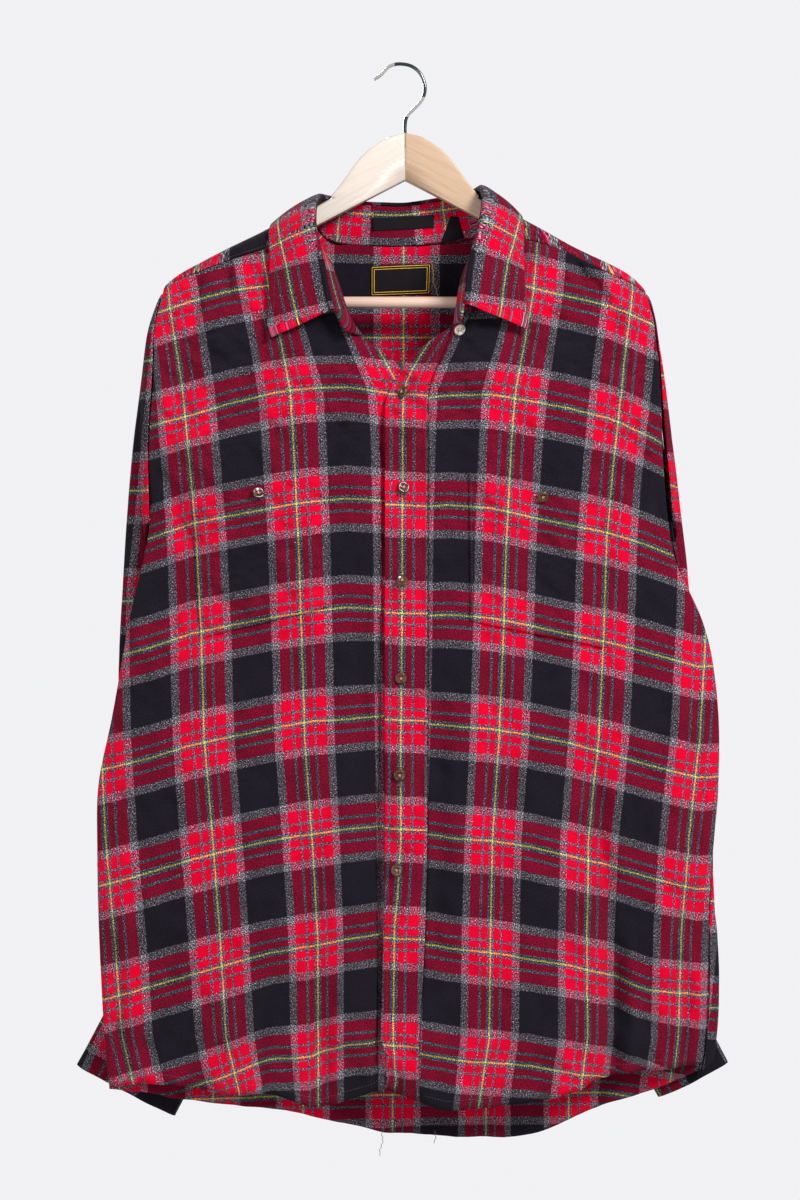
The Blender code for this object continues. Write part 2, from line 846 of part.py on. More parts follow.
def collar_shares(start, end):
    """Shares of the neck seam's length, closer together where it crosses the hanger."""
    shares = []
    for first, last, count in COLLAR_STEPS:
        shares += [blend(first, last, i / count) for i in range(count)]
    return [start] + [share for share in shares if start < share < end] + [end]


def stand_columns(seam):
    """Columns of the stand from its lower edge to its upper edge."""
    shares = collar_shares(0, 1)
    return [[tuple(stand_point(seam, share, up)) for up in STAND_UPS] for share in shares]


def leaf_columns(seam):
    """Columns of the collar leaf: off the stand's upper edge, over, and down outside."""
    columns = []
    for share in collar_shares(LEAF_START, LEAF_END):
        top = stand_point(seam, share, 1)
        edge = np.array([read(LEAF_EDGE, axis, share) for axis in "xyz"])
        run = unit(stand_point(seam, share + 0.01, 1) - stand_point(seam, share - 0.01, 1))
        out = unit(np.cross(run, top - stand_point(seam, share, 0)))
        out *= math.copysign(1, np.dot(out, edge - top))
        rise = np.cross(run, out)
        rise *= math.copysign(1, np.dot(rise, top - stand_point(seam, share, 0)))
        turn = [top + rise * above + out * outside for above, outside in LEAF_ROLL]
        column = [tuple(p) for p in turn]
        for down in LEAF_DOWNS:
            point = blend(turn[-1], edge, down)
            belly = LEAF_BELLY * math.sin(math.pi * down)
            column.append(tuple(point + unit(point - NECK_CENTRE) * belly))
        columns.append(column)
    return columns


# ---------------------------------------------------------------- sleeves and cuffs
def lens(rows, i, turn):
    """A point of a flattened section: turn 0 is its outer fold, 180 its inner fold."""
    angle = math.radians(turn)
    outer = np.array([rows[axis][i] for axis in ("ox", "oy", "oz")])
    inner = np.array([rows[axis][i] for axis in ("ix", "iy", "iz")])
    middle = (outer + inner) / 2
    point = middle + (outer - middle) * math.cos(angle)
    point[0] += rows["bow"][i] * abs(math.sin(angle))
    point[1] += rows["depth"][i] * math.copysign(
        abs(math.sin(angle)) ** SLEEVE_FULLNESS, math.sin(angle)
    )
    return tuple(point)


def armhole_ring(side, turn):
    """The sleeve's first section, just outside the armhole's edge."""
    angle = math.radians(turn)
    middle = (ARMHOLE_TOP + ARMHOLE_BOTTOM) / 2
    z = middle + (ARMHOLE_TOP - middle) * math.cos(angle)
    y = read(BODY, "side", z) + math.copysign(armhole_half(z), math.sin(angle))
    return (side_x(z, side) + side * SLEEVE_STANDOFF, y, z)


def sleeve_columns(rows, side):
    """Columns of a sleeve, one for each turn round it, from the armhole to the cuff."""
    columns = []
    for i in range(SLEEVE_POINTS):
        turn = 360 * i / SLEEVE_POINTS
        column = [armhole_ring(side, turn)]
        column += [lens(rows, r, turn) for r in range(len(rows["key"]))]
        columns.append(column)
    return columns


def cuff_columns(rows):
    """Columns of a cuff, one for each turn round it."""
    count = len(rows["key"])
    turns = [360 * i / SLEEVE_POINTS for i in range(SLEEVE_POINTS)]
    return [[lens(rows, r, turn) for r in range(count)] for turn in turns]


# ---------------------------------------------------------------- what lies on a panel
def patch_columns(corners, surface, depth, lift, count=9, rows=9):
    """Columns of a patch on a panel, from its corners, moved out from the panel."""
    top_outer, top_inner, bottom_inner, bottom_outer = corners
    columns = []
    for i in range(count + 1):
        top = blend_points(top_outer, top_inner, i / count)
        bottom = blend_points(bottom_outer, bottom_inner, i / count)
        column = []
        for r in range(rows + 1):
            x, z = blend_points(top, bottom, r / rows)
            y = depth_on(surface, x, z, depth(x, z)) - lift
            column.append((x, y, z))
        columns.append(column)
    return columns


def button(name, seat, finish, home):
    """A turned button: its back is at the seat's point, its face looks the seat's way."""
    radius = BUTTON_DIAMETER / 2
    mesh = bpy.data.meshes.new(name)
    points = [Vector((share * radius, 0, height)) * MM for share, height in BUTTON_PROFILE]
    mesh.from_pydata(points, [(i, i + 1) for i in range(len(points) - 1)], [])
    piece = add_object(name, mesh, finish, home)
    screw = piece.modifiers.new("turn", "SCREW")
    screw.steps = BUTTON_SIDES
    screw.render_steps = BUTTON_SIDES
    screw.use_merge_vertices = True
    screw.merge_threshold = 0.0001
    place, facing = seat
    piece.location = place * MM
    piece.rotation_mode = "QUATERNION"
    piece.rotation_quaternion = facing.to_track_quat("Z", "Y")
    return piece


# ---------------------------------------------------------------- the hanger
def wood_outline(x):
    """The arm's upper and lower outline at this distance from its middle."""
    if x < WOOD_NECK["key"][-1]:
        top = read(WOOD_NECK, "top", x)
    else:
        top = WOOD_NOTCH_Z - WOOD_SLOPE * x + WOOD_HEIGHT
    bottom = WOOD_NOTCH_Z - WOOD_SLOPE * x
    if x > WOOD_END["key"][0]:
        bottom = read(WOOD_END, "bottom", x)
        top = min(top, read(WOOD_END, "top", x))
    return top, bottom


def arm_section(x, side):
    """A rounded section of the arm across its length, as a ring of points."""
    top, bottom = wood_outline(x)
    half_y = WOOD_THICKNESS / 2
    half_z = (top - bottom) / 2
    middle = (top + bottom) / 2
    round_off = min(WOOD_ROUND, half_z)
    ring = []
    for corner_y, corner_z, start in ((1, 1, 0), (-1, 1, 90), (-1, -1, 180), (1, -1, 270)):
        for turn in (0, 45, 90):
            angle = math.radians(start + turn)
            y = corner_y * (half_y - round_off) + round_off * math.cos(angle)
            z = corner_z * (half_z - round_off) + round_off * math.sin(angle)
            ring.append((side * x, y + arm_y(x), middle + z))
    return ring


def hanger_arm(name, side, finish, home, cutters):
    """One half of the wooden hanger, with sockets for the hook and the bar."""
    stations = [WOOD_JOINT / 2, *WOOD_STATIONS, *WOOD_END["key"]]
    sections = [arm_section(x, side) for x in stations]
    columns = list(zip(*sections))
    mesh = sheet_mesh(name, columns, closed=True, flip=side < 0)
    body = bmesh.new()
    body.from_mesh(mesh)
    bmesh.ops.holes_fill(body, edges=body.edges, sides=0)
    bmesh.ops.recalc_face_normals(body, faces=body.faces)
    body.to_mesh(mesh)
    body.free()
    piece = add_object(name, mesh, finish, home)
    for cutter in cutters:
        cut = piece.modifiers.new(cutter.name, "BOOLEAN")
        cut.operation = "DIFFERENCE"
        cut.object = cutter
    return piece


def rod(name, radius, start, end, finish, home, sides=16):
    """A cylinder between two points."""
    start = Vector(start) * MM
    end = Vector(end) * MM
    mesh = bpy.data.meshes.new(name)
    shape = bmesh.new()
    bmesh.ops.create_cone(
        shape,
        cap_ends=True,
        segments=sides,
        radius1=radius * MM,
        radius2=radius * MM,
        depth=(end - start).length,
    )
    shape.to_mesh(mesh)
    shape.free()
    piece = add_object(name, mesh, finish, home)
    piece.location = (start + end) / 2
    piece.rotation_mode = "QUATERNION"
    piece.rotation_quaternion = (end - start).to_track_quat("Z", "Y")
    return piece


def hook(name, finish, home):
    """The hanger's wire hook on one smooth curve, down into its socket."""
    line = [Vector((x, 0, z)) for x, z in HOOK_ROUTE]
    line.append(Vector((0, 0, wood_outline(0)[0] - WIRE_SOCKET_DEPTH + SOCKET_ROOM)))
    route = []
    for i in range(len(line) - 1):
        before = line[max(i - 1, 0)]
        after = line[min(i + 2, len(line) - 1)]
        for t in (0, 0.5):
            route.append(spline_point(before, line[i], line[i + 1], after, t))
    route.append(line[-1])
    curve = bpy.data.curves.new(name, "CURVE")
    curve.dimensions = "3D"
    curve.bevel_depth = WIRE_DIAMETER / 2 * MM
    curve.bevel_resolution = 2
    curve.use_fill_caps = True
    spline = curve.splines.new("POLY")
    spline.points.add(len(route) - 1)
    for point, place in zip(spline.points, route):
        point.co = (*(place * MM), 1)
    return add_object(name, curve, finish, home)


def spline_point(before, start, end, after, t):
    """A point of a Catmull-Rom curve between start and end."""
    slope_in = (end - before) / 2
    slope_out = (after - start) / 2
    ease = t * t * (3 - 2 * t)
    bend = slope_in * (t * (1 - t) ** 2) - slope_out * (t * t * (1 - t))
    return start * (1 - ease) + end * ease + bend


# ---------------------------------------------------------------- assembly
def build_body(home, flannel):
    """Fronts, placket, back, yoke and collar. Returns the surfaces that carry trim."""
    right = front_columns(right_edge_x, front_depth, -1)
    left = front_columns(left_edge_x, left_front_depth, 1)
    placket = placket_columns(left[0])
    back = back_columns()
    yoke, starts = yoke_columns()
    seam = neck_seam(right, left, yoke, starts)
    stand = stand_columns(seam)
    leaf = leaf_columns(seam)
    cloth("front_right", right, flannel, home, flip=True)
    cloth("front_left", left, flannel, home)
    cloth("placket", placket, flannel, home, wall=DOUBLE)
    cloth("back", back, flannel, home, flip=True)
    cloth("yoke", yoke, flannel, home, first_rows=starts)
    cloth("collar_stand", stand, flannel, home, wall=DOUBLE)
    cloth("collar_leaf", leaf, flannel, home, wall=DOUBLE)
    return {
        "right": surface_of(right),
        "left": surface_of(left),
        "placket": surface_of(placket),
        "stand": surface_of(stand),
        "yoke": surface_of(yoke, starts),
    }


def build_pockets(home, flannel, surfaces):
    """The two patch pockets, on the fronts' own points."""
    right = patch_columns(RIGHT_POCKET, surfaces["right"], front_depth, POCKET_LIFT)
    left = patch_columns(LEFT_POCKET, surfaces["left"], left_front_depth, POCKET_LIFT)
    cloth("pocket_right", right, flannel, home)
    cloth("pocket_left", left, flannel, home, flip=True)
    return {"right": surface_of(right), "left": surface_of(left)}


def build_sleeves(home, flannel):
    """Sleeves and cuffs, hanging behind the body."""
    cuffs = {"right": cuff_columns(RIGHT_CUFF), "left": cuff_columns(LEFT_CUFF)}
    right = sleeve_columns(RIGHT_SLEEVE, -1)
    left = sleeve_columns(LEFT_SLEEVE, 1)
    cloth("sleeve_right", right, flannel, home, even=False, closed=True)
    cloth("sleeve_left", left, flannel, home, even=False, closed=True, flip=True)
    cloth("cuff_right", cuffs["right"], flannel, home, wall=DOUBLE, closed=True)
    cloth("cuff_left", cuffs["left"], flannel, home, wall=DOUBLE, closed=True, flip=True)
    return {side: surface_of(columns) for side, columns in cuffs.items()}


def build_labels(home, woven, surfaces):
    """Bare woven labels on the inside of the neck."""
    for name, corners, surface, wall in (
        ("label_strip", LABEL_STRIP, surfaces["stand"], DOUBLE),
        ("label_patch", LABEL_PATCH, surfaces["yoke"], CLOTH),
        ("label_care", LABEL_CARE, surfaces["stand"], DOUBLE + LABEL),
    ):
        lift = wall / 2 + LABEL / 2 + LABEL_GAP
        columns = patch_columns(corners, surface, back_depth, lift, count=5, rows=2)
        cloth(name, columns, woven, home, wall=LABEL)


def build_buttons(home, horn, surfaces, pockets, cuffs):
    """Front, pocket, collar and cuff buttons, each just off the cloth that it is on."""
    for i in range(len(BUTTON_PLACES["key"])):
        x = BUTTON_PLACES["x"][i]
        z = BUTTON_PLACES["z"][i]
        seat = place_on(surfaces["placket"], x, z, DOUBLE / 2 + BUTTON_GAP)
        button(f"button_front_{i + 1}", seat, horn, home)
    for name, place, surface, wall, behind in (
        ("button_pocket_right", RIGHT_POCKET_BUTTON, pockets["right"], CLOTH, False),
        ("button_pocket_left", LEFT_POCKET_BUTTON, pockets["left"], CLOTH, False),
        ("button_collar", COLLAR_BUTTON, surfaces["left"], CLOTH, False),
        ("button_cuff_right", RIGHT_CUFF_BUTTON, cuffs["right"], DOUBLE, True),
        ("button_cuff_left", LEFT_CUFF_BUTTON, cuffs["left"], DOUBLE, True),
    ):
        seat = place_on(surface, *place, wall / 2 + BUTTON_GAP, behind)
        button(name, seat, horn, home)


def build_hanger(home, cutter_home):
    """The two wooden halves, the bar between them and the wire hook."""
    wood = material("hanger wood", WOOD_COLOUR, 0.45)
    bar = material("hanger bar", BAR_COLOUR, 0.5)
    steel = material("hook steel", STEEL_COLOUR, 0.25, 1.0)
    top = wood_outline(0)[0]
    hook_socket = rod(
        "hook socket",
        WIRE_DIAMETER / 2 + SOCKET_ROOM,
        (0, 0, top - WIRE_SOCKET_DEPTH),
        (0, 0, top + CUTTER_LENGTH_OVER),
        wood,
        cutter_home,
    )
    bar_socket = rod(
        "bar socket",
        BAR_DIAMETER / 2 + SOCKET_ROOM,
        (-BAR_HALF_LENGTH - SOCKET_ROOM, BAR_Y, BAR_Z),
        (BAR_HALF_LENGTH + SOCKET_ROOM, BAR_Y, BAR_Z),
        wood,
        cutter_home,
    )
    for cutter in (hook_socket, bar_socket):
        cutter.hide_render = True
        cutter.display_type = "WIRE"
    hanger_arm("hanger_arm_right", -1, wood, home, (hook_socket, bar_socket))
    hanger_arm("hanger_arm_left", 1, wood, home, (hook_socket, bar_socket))
    rod(
        "hanger_bar",
        BAR_DIAMETER / 2,
        (-BAR_HALF_LENGTH, BAR_Y, BAR_Z),
        (BAR_HALF_LENGTH, BAR_Y, BAR_Z),
        bar,
        home,
    )
    hook("hanger_hook", steel, home)


def main():
    """Clears the scene and builds the shirt and its hanger."""
    for old in list(bpy.data.objects):
        bpy.data.objects.remove(old)
    home = collection("flannel shirt on hanger")
    cutter_home = collection("cutters")
    flannel = material("flannel", CLOTH_RED, 0.95)
    horn = material("horn", HORN_COLOUR, 0.35)
    surfaces = build_body(home, flannel)
    pockets = build_pockets(home, flannel, surfaces)
    cuffs = build_sleeves(home, flannel)
    build_buttons(home, horn, surfaces, pockets, cuffs)
    build_labels(home, material("woven label", LABEL_COLOUR, 0.7), surfaces)
    build_hanger(home, cutter_home)


main()
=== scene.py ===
"""Looks of a plaid flannel shirt on its wooden hanger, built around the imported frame.

Places and sizes are in millimetres in the frame's own axes: X to the wearer's left,
Y to the back and Z up, from the inside top of the hanger's hook. They become metres
only where a mesh is made. The charts of the plaid's lines alone are in the photograph's
pixels, and become millimetres when they are read.
"""

import json
import logging
import math
from collections.abc import Iterable, Sequence
from dataclasses import dataclass, field, replace
from enum import Enum
from typing import Any

import bmesh
import bpy
import numpy as np
from mathutils import Matrix, Vector
from mathutils.bvhtree import BVHTree
from mathutils.kdtree import KDTree

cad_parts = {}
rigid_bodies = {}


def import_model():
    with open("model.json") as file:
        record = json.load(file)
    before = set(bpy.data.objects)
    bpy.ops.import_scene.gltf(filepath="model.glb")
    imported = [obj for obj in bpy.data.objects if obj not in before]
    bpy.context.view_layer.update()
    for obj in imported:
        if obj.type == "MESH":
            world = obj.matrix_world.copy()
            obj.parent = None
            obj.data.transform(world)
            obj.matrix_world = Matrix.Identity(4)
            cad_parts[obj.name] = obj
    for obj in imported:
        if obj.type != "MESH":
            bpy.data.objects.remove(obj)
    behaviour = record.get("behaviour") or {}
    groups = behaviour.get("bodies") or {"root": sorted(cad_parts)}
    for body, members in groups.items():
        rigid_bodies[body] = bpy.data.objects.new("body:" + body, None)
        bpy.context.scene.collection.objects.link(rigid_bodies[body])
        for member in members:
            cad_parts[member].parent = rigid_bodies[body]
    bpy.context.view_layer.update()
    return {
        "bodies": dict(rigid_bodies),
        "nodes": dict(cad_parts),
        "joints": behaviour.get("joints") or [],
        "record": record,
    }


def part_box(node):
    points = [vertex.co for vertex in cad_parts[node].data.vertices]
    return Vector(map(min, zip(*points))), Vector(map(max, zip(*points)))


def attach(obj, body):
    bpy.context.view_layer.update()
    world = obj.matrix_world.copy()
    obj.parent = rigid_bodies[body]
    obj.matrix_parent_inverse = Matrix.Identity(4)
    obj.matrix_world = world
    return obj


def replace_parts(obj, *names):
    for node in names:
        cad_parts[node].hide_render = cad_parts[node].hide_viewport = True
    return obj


LOG = logging.getLogger("shirt")
MM = 0.001
BODY = "root"
REPEAT = 100.0  # one repeat of the plaid, in both directions
PICTURE = (800, 1200)  # the photograph's pixels across and down
PIXEL = 0.95  # how much of the shirt's front one of them shows
HANGER_ARMS = ("hanger_arm_right", "hanger_arm_left")
Rows = dict[str, np.ndarray]
Colour = tuple[float, ...]
Place = tuple[float, float, float]
CAMERA: Place = (-4.8, -2630.0, -513.15)
VIEW_DISTANCE = 2600.0  # from the camera to the plane where PIXEL holds


# ---------------------------------------------------------------- tables and numbers
def table(columns: str, *rows: Sequence[float]) -> Rows:
    """Rows of numbers as one array for each named column.

    Args:
        columns: the columns' names, parted by spaces.
        rows: one sequence of numbers for each row.

    Returns:
        The columns by name.
    """
    return dict(zip(columns.split(), np.array(rows, dtype=float).T))


def smooth(values: np.ndarray) -> np.ndarray:
    """Eased shares: 0 and 1 stay, with level ends between them."""
    held = np.clip(values, 0.0, 1.0)
    return held * held * (3 - 2 * held)


def waves(points: np.ndarray, seed: int, length: float, count: int = 14) -> np.ndarray:
    """Soft noise from waves that run in seeded random directions.

    Args:
        points: places in millimetres, one row for each.
        seed: which noise it is.
        length: the middle wave's length in millimetres.
        count: how many waves are added up.

    Returns:
        One number for each place, mostly between -1 and 1.
    """
    draw = np.random.default_rng(seed)
    total = np.zeros(len(points))
    for _ in range(count):
        way = draw.normal(size=points.shape[1])
        way *= 2 * math.pi / (np.linalg.norm(way) * length * draw.uniform(0.6, 1.7))
        total += np.sin(points @ way + draw.uniform(0, 2 * math.pi))
    return total / math.sqrt(count) / 1.2


def route(*places: Sequence[float]) -> np.ndarray:
    """A route from its places."""
    return np.array(places, dtype=float)


def passed(way: np.ndarray) -> np.ndarray:
    """How far along a route each of its places is."""
    return np.concatenate(([0.0], np.cumsum(np.linalg.norm(np.diff(way, axis=0), axis=1))))


def spread_along(places: Iterable[Sequence[float]], pitch: float, start: float = 0.0) -> np.ndarray:
    """Places along a route, one pitch apart from the start on."""
    way = route(*places)
    steps = passed(way)
    at = np.arange(start, steps[-1], pitch)
    return np.stack([np.interp(at, steps, column) for column in way.T], axis=1)


# ---------------------------------------------------------------- the plaid's lines
@dataclass(frozen=True)
class Lines:
    """A family of the plaid's yellow lines: where each lies, at stations along it.

    The first column is the stations. Each other column is one line, in rising order.
    """

    rows: Rows
    first: int

    def index_at(self, along: np.ndarray, place: np.ndarray) -> np.ndarray:
        """How many repeats a place is past line 0.

        Args:
            along: each place's coordinate along the lines.
            place: each place's coordinate across the lines.

        Returns:
            The index, whole on a line and in proportion between two lines.
        """
        stations, *lines = self.rows.values()
        order = np.argsort(stations)
        found = [np.interp(along, stations[order], line[order]) for line in lines]
        at = np.stack(found, axis=1)
        low = np.clip((at <= place[:, None]).sum(axis=1) - 1, 0, len(lines) - 2)[:, None]
        below = np.take_along_axis(at, low, 1)[:, 0]
        above = np.take_along_axis(at, low + 1, 1)[:, 0]
        return self.first + low[:, 0] + (place - below) / (above - below)


def family(first: int, columns: str, *rows: Sequence[float]) -> Lines:
    """A family of lines from rows of numbers, a column for the stations and each line."""
    return Lines(table(columns, *rows), first)


@dataclass(frozen=True)
class Chart:
    """Yellow lines of the plaid, as points read on the photograph in its own pixels."""

    first: int  # the first line's index
    upright: bool  # whether they run down the cloth, or else across it
    stations: tuple[int, ...]  # pixels along them where the cloth's own lines are placed
    lines: tuple[tuple[tuple[float, float], ...], ...]  # each one's points, in order along it
    depth: float = -60.0  # Y of the cloth that shows them

    def family(self) -> Lines:
        """The lines on the cloth, carried straight on beyond their first and last points."""
        along, across = (1, 0) if self.upright else (0, 1)
        stations = np.array(self.stations)
        columns = {"along": self._placed(stations, along) * (-1 if self.upright else 1)}
        for index, line in enumerate(self.lines):
            at, places = route(*line).T[[along, across]]
            slopes = np.diff(places) / np.diff(at)
            found = np.interp(stations, at, places)
            found += slopes[0] * np.minimum(stations - at[0], 0)
            found += slopes[-1] * np.maximum(stations - at[-1], 0)
            columns[f"line{index}"] = self._placed(found, across)
        return Lines(columns, self.first)

    def _placed(self, pixels: np.ndarray, axis: int) -> np.ndarray:
        """Pixels across as X, or pixels down as the depth below the hook, to the millimetre."""
        size = PIXEL * (self.depth - CAMERA[1]) / VIEW_DISTANCE
        middle = (CAMERA[0], -CAMERA[2])[axis]
        return np.round(middle + (pixels - PICTURE[axis] / 2) * size)


@dataclass(frozen=True)
class Grain:
    """How the woven pattern lies on a hanging panel, seen from the front."""

    upright: Lines
    level: Lines

    def coordinates(self, points: np.ndarray) -> np.ndarray:
        """The pattern's two indices at each place."""
        across = self.upright.index_at(points[:, 2], points[:, 0])
        down = self.level.index_at(points[:, 0], -points[:, 2])
        return np.stack([across, down], axis=1)


@dataclass(frozen=True)
class Course:
    """A route through space that a strip of cloth follows, such as the collar's roll."""

    way: np.ndarray

    def measure(self, points: np.ndarray) -> tuple[np.ndarray, np.ndarray]:
        """How far along the route each place is, and how far away from it."""
        starts, runs = self.way[:-1], np.diff(self.way, axis=0)
        away = np.full(len(points), np.inf)
        along = np.zeros(len(points))
        for start, run, before in zip(starts, runs, passed(self.way)):
            length = float(np.linalg.norm(run))
            share = np.clip((points - start) @ run / length**2, 0, 1)
            gap = np.linalg.norm(points - start - share[:, None] * run, axis=1)
            nearer = gap < away
            away = np.where(nearer, gap, away)
            along = np.where(nearer, before + share * length, along)
        return along, away


@dataclass(frozen=True)
class StripGrain:
    """The pattern on a strip that follows a course: where its lines lie along and away."""

    course: Course
    along_line: float
    away_line: float

    def coordinates(self, points: np.ndarray) -> np.ndarray:
        """The pattern's two indices at each place."""
        along, away = self.course.measure(points)
        return np.stack([along - self.along_line, away - self.away_line], axis=1) / REPEAT


def level_lines(columns: Rows, pitch: float, count: int) -> Lines:
    """Level lines that are one pitch apart, from the first one's place at each station.

    Args:
        columns: the stations x, and the first line's depth below the hook there.
        pitch: how far apart the lines are.
        count: how many lines there are.

    Returns:
        The family of lines, from index 0.
    """
    levels = {f"h{index}": columns["first"] + index * pitch for index in range(count)}
    return Lines({"x": columns["x"], **levels}, first=0)


# Points read on enlarged views of the photograph, in its own pixels.
RIGHT_UPRIGHTS = Chart(
    first=-2,
    upright=True,
    stations=(240, 290, 340, 390, 440, 540, 640, 740, 840, 940, 1040, 1110),
    lines=(
        (
            *((96.5, 700), (97.5, 760), (98.9, 801), (107.9, 885), (109.5, 914.8), (115.3, 965.3)),
            *((118.7, 1038.8), (124.4, 1071), (129, 1087)),
        ),
        (
            *((160, 255), (168.4, 296.4), (179.6, 377.5), (186.7, 437.6), (194.5, 521.3)),
            *((196.6, 558), (199.3, 631), (202.7, 658.7), (203.1, 718), (204.1, 753.6)),
            *((211.7, 829.8), (215.8, 880.4), (220.9, 960.7)),
            *((222.7, 1006.6), (227.8, 1059.4), (235.1, 1085.9)),
        ),
        (
            *((261.5, 249), (266.7, 281), (279.5, 337), (290.5, 388), (295.2, 464), (299, 540)),
            *((301.6, 629), (303.5, 668.5), (304.5, 718), (305.5, 749.6)),
            *((310.4, 800), (316.2, 914.8), (317.8, 947)),
            *((318, 1038.8), (318, 1085)),
        ),
        (
            *((345, 280), (366, 325), (383.5, 358), (395.3, 377.8), (403, 395), (404, 470)),
            *((405, 560), (404, 1100)),
        ),
    ),
)
RIGHT_LEVELS = Chart(
    first=0,
    upright=False,
    stations=(95, 150, 190, 230, 270, 310, 345, 385),
    lines=(
        ((160.6, 309.5), (191.9, 299), (233.8, 287.3), (267.7, 283.4), (330, 279), (385, 283)),
        (
            *((154, 424.6), (184, 416.2), (215.5, 407.6), (257.3, 395.3), (290.5, 389.3)),
            *((325.2, 386.7), (354, 386.7), (385.4, 392.7)),
        ),
        (
            *((148.8, 537), (193.2, 522.6), (220.7, 517.4), (257.3, 509.6), (295.2, 504.9)),
            *((333, 497.8), (367, 499), (380, 500.4)),
        ),
        (
            *((123.6, 654.7), (151.3, 647.8), (177, 638.9), (198.7, 630.6), (222.5, 627)),
            *((254.1, 621.5), (277.8, 616.1), (301.6, 613.2), (323.3, 609.6), (330.2, 606.2)),
            *((355, 607.6), (380.6, 608.8)),
        ),
        (
            *((101.9, 771), (121.6, 766), (169.1, 753.6), (179, 749.6), (203.7, 742.1)),
            *((228.4, 737.7), (279.8, 726.3), (304.5, 721.5), (327.3, 719)),
            *((355, 719), (380.6, 716.6)),
        ),
        (
            *((99.2, 888.4), (147.4, 874.6), (188.7, 861.5), (237, 848.2), (287.5, 836.3)),
            *((310.4, 834), (342.6, 828.7), (381.6, 827.1)),
        ),
        (
            *((103.8, 1003.9), (116.4, 1000.9), (145.1, 991.7), (188.7, 976.8), (220.9, 966.5)),
            *((255.3, 956.1), (285.2, 949.7), (319.6, 945.8), (342.6, 940), (381.6, 934.3)),
        ),
        (
            *((110, 1118), (200.2, 1088), (218.6, 1081.3), (232.4, 1074.4), (255.3, 1062.9)),
            *((287.5, 1059), (316.2, 1059), (342.6, 1045.7), (379.3, 1043.4)),
        ),
    ),
)
LEFT_UPRIGHTS = Chart(
    first=0,
    upright=True,
    stations=(240, 290, 340, 390, 440, 540, 640, 740, 840, 940, 1040, 1110),
    lines=(
        (
            *((455, 290), (437, 330), (423, 354), (411.6, 371), (403, 392), (403.4, 467.5)),
            *((402.6, 521), (401.5, 548), (401.3, 802), (399.2, 830), (398.3, 894), (394.6, 925)),
            *((394.6, 955.5), (393.7, 1047)),
        ),
        (
            *((537.7, 247.3), (534.7, 285), (528.8, 318.5), (526.6, 333.6), (518.6, 373.8)),
            *((514.6, 395.2), (511.9, 440.7), (508.7, 507.7), (506, 547.9), (503.8, 620.2)),
            *((502.6, 680), (500.2, 727.4), (495.6, 781), (492.5, 839.2), (489.4, 875.9)),
            *((490.4, 955.5), (491, 1016.7), (487.9, 1062.6), (479.4, 1105.5)),
        ),
        (
            *((636, 262), (634.3, 285.4), (631.1, 312.1), (625.7, 360.4), (619, 419.3)),
            *((609.7, 499.7), (607.5, 531.8), (604.3, 639), (601.1, 680), (598.3, 748.4)),
            *((591.2, 799), (587.8, 860), (585.9, 907), (588.6, 970), (590, 1020)),
            *((587.2, 1061), (583.2, 1083)),
        ),
        (
            *((728, 300), (722, 420), (714, 560), (708, 650), (705.4, 700), (699, 779.2)),
            *((693.1, 817.3), (685.8, 876), (682.9, 928.8), (682, 993.4)),
            *((682.9, 1022.7), (678.5, 1060.8)),
        ),
    ),
)
LEFT_LEVELS = Chart(
    first=0,
    upright=False,
    stations=(420, 450, 490, 530, 570, 610, 650, 700),
    lines=(
        (
            *((430, 290), (480, 285), (524, 285.4), (550.7, 288), (574.8, 297.4), (604.3, 301.4)),
            *((631.1, 312.1), (653.9, 322.9)),
        ),
        (
            *((424.8, 397.9), (440.9, 395.2), (489.1, 394.4), (514.6, 397.9), (540, 401.9)),
            *((588.2, 412.1), (620.4, 420.6), (659.2, 439.4)),
        ),
        (
            *((422.1, 507.2), (438.2, 505), (475.7, 503.7), (507.9, 513.1), (534.7, 517.1)),
            *((577.5, 526.4), (607.5, 532.3), (631.1, 537.2), (659.2, 547.9)),
        ),
        (
            *((424.8, 615.7), (475.7, 614.3), (503.8, 621.6), (540, 627.4), (577.5, 636.3)),
            *((604.3, 640.8), (623, 645.7), (659.2, 655.6)),
        ),
        (
            *((422.1, 723.8), (451.2, 725.3), (500.2, 729.6), (527.7, 735.1), (561.4, 741.2)),
            *((598.1, 750.2), (637.4, 763.1), (666.7, 770.4), (716.6, 783.6)),
        ),
        (
            *((416, 833), (457.3, 837.6), (492.5, 840.7), (521.6, 845), (558.3, 854.3)),
            *((587.7, 860.7), (616.8, 868.7), (660.9, 881.9), (684.3, 887.8), (710.7, 893.6)),
        ),
        (
            *((413, 942.6), (442, 947.8), (491, 952.4), (521.6, 956.6), (560, 964), (588.6, 971.1)),
            *((616.6, 979), (652, 993.4), (681.4, 997.8), (707.8, 998.7)),
        ),
        (
            *((414.5, 1051.9), (442, 1059.6), (487.9, 1064.1), (518.5, 1065.5), (562, 1073)),
            *((589, 1076.8), (616, 1083), (660, 1100)),
        ),
    ),
)
RIGHT_FRONT_GRAIN = Grain(RIGHT_UPRIGHTS.family(), RIGHT_LEVELS.family())
LEFT_FRONT_GRAIN = Grain(LEFT_UPRIGHTS.family(), LEFT_LEVELS.family())
PLACKET_GRAIN = Grain(
    family(
        0,
        "z c p1",
        (-256, 33, 133),
        (-269, 24, 124),
        (-281, 16, 116),
        (-296, 7, 107),
        (-308, 1.5, 101),
        (-320, -2, 98),
        (-551, -3, 97),
        (-645, -4, 96),
        (-739, -4, 96),
        (-790, -7, 93),
        (-820, -10, 90),
        (-990, -12, 88),
    ),
    family(
        0,
        "x h0 h1 h2 h3 h4 h5 h6 h7",
        (-20, 219, 319, 423, 525, 625, 727, 830, 932),
        (20, 221, 321, 425, 526, 627, 729, 832, 934),
    ),
)
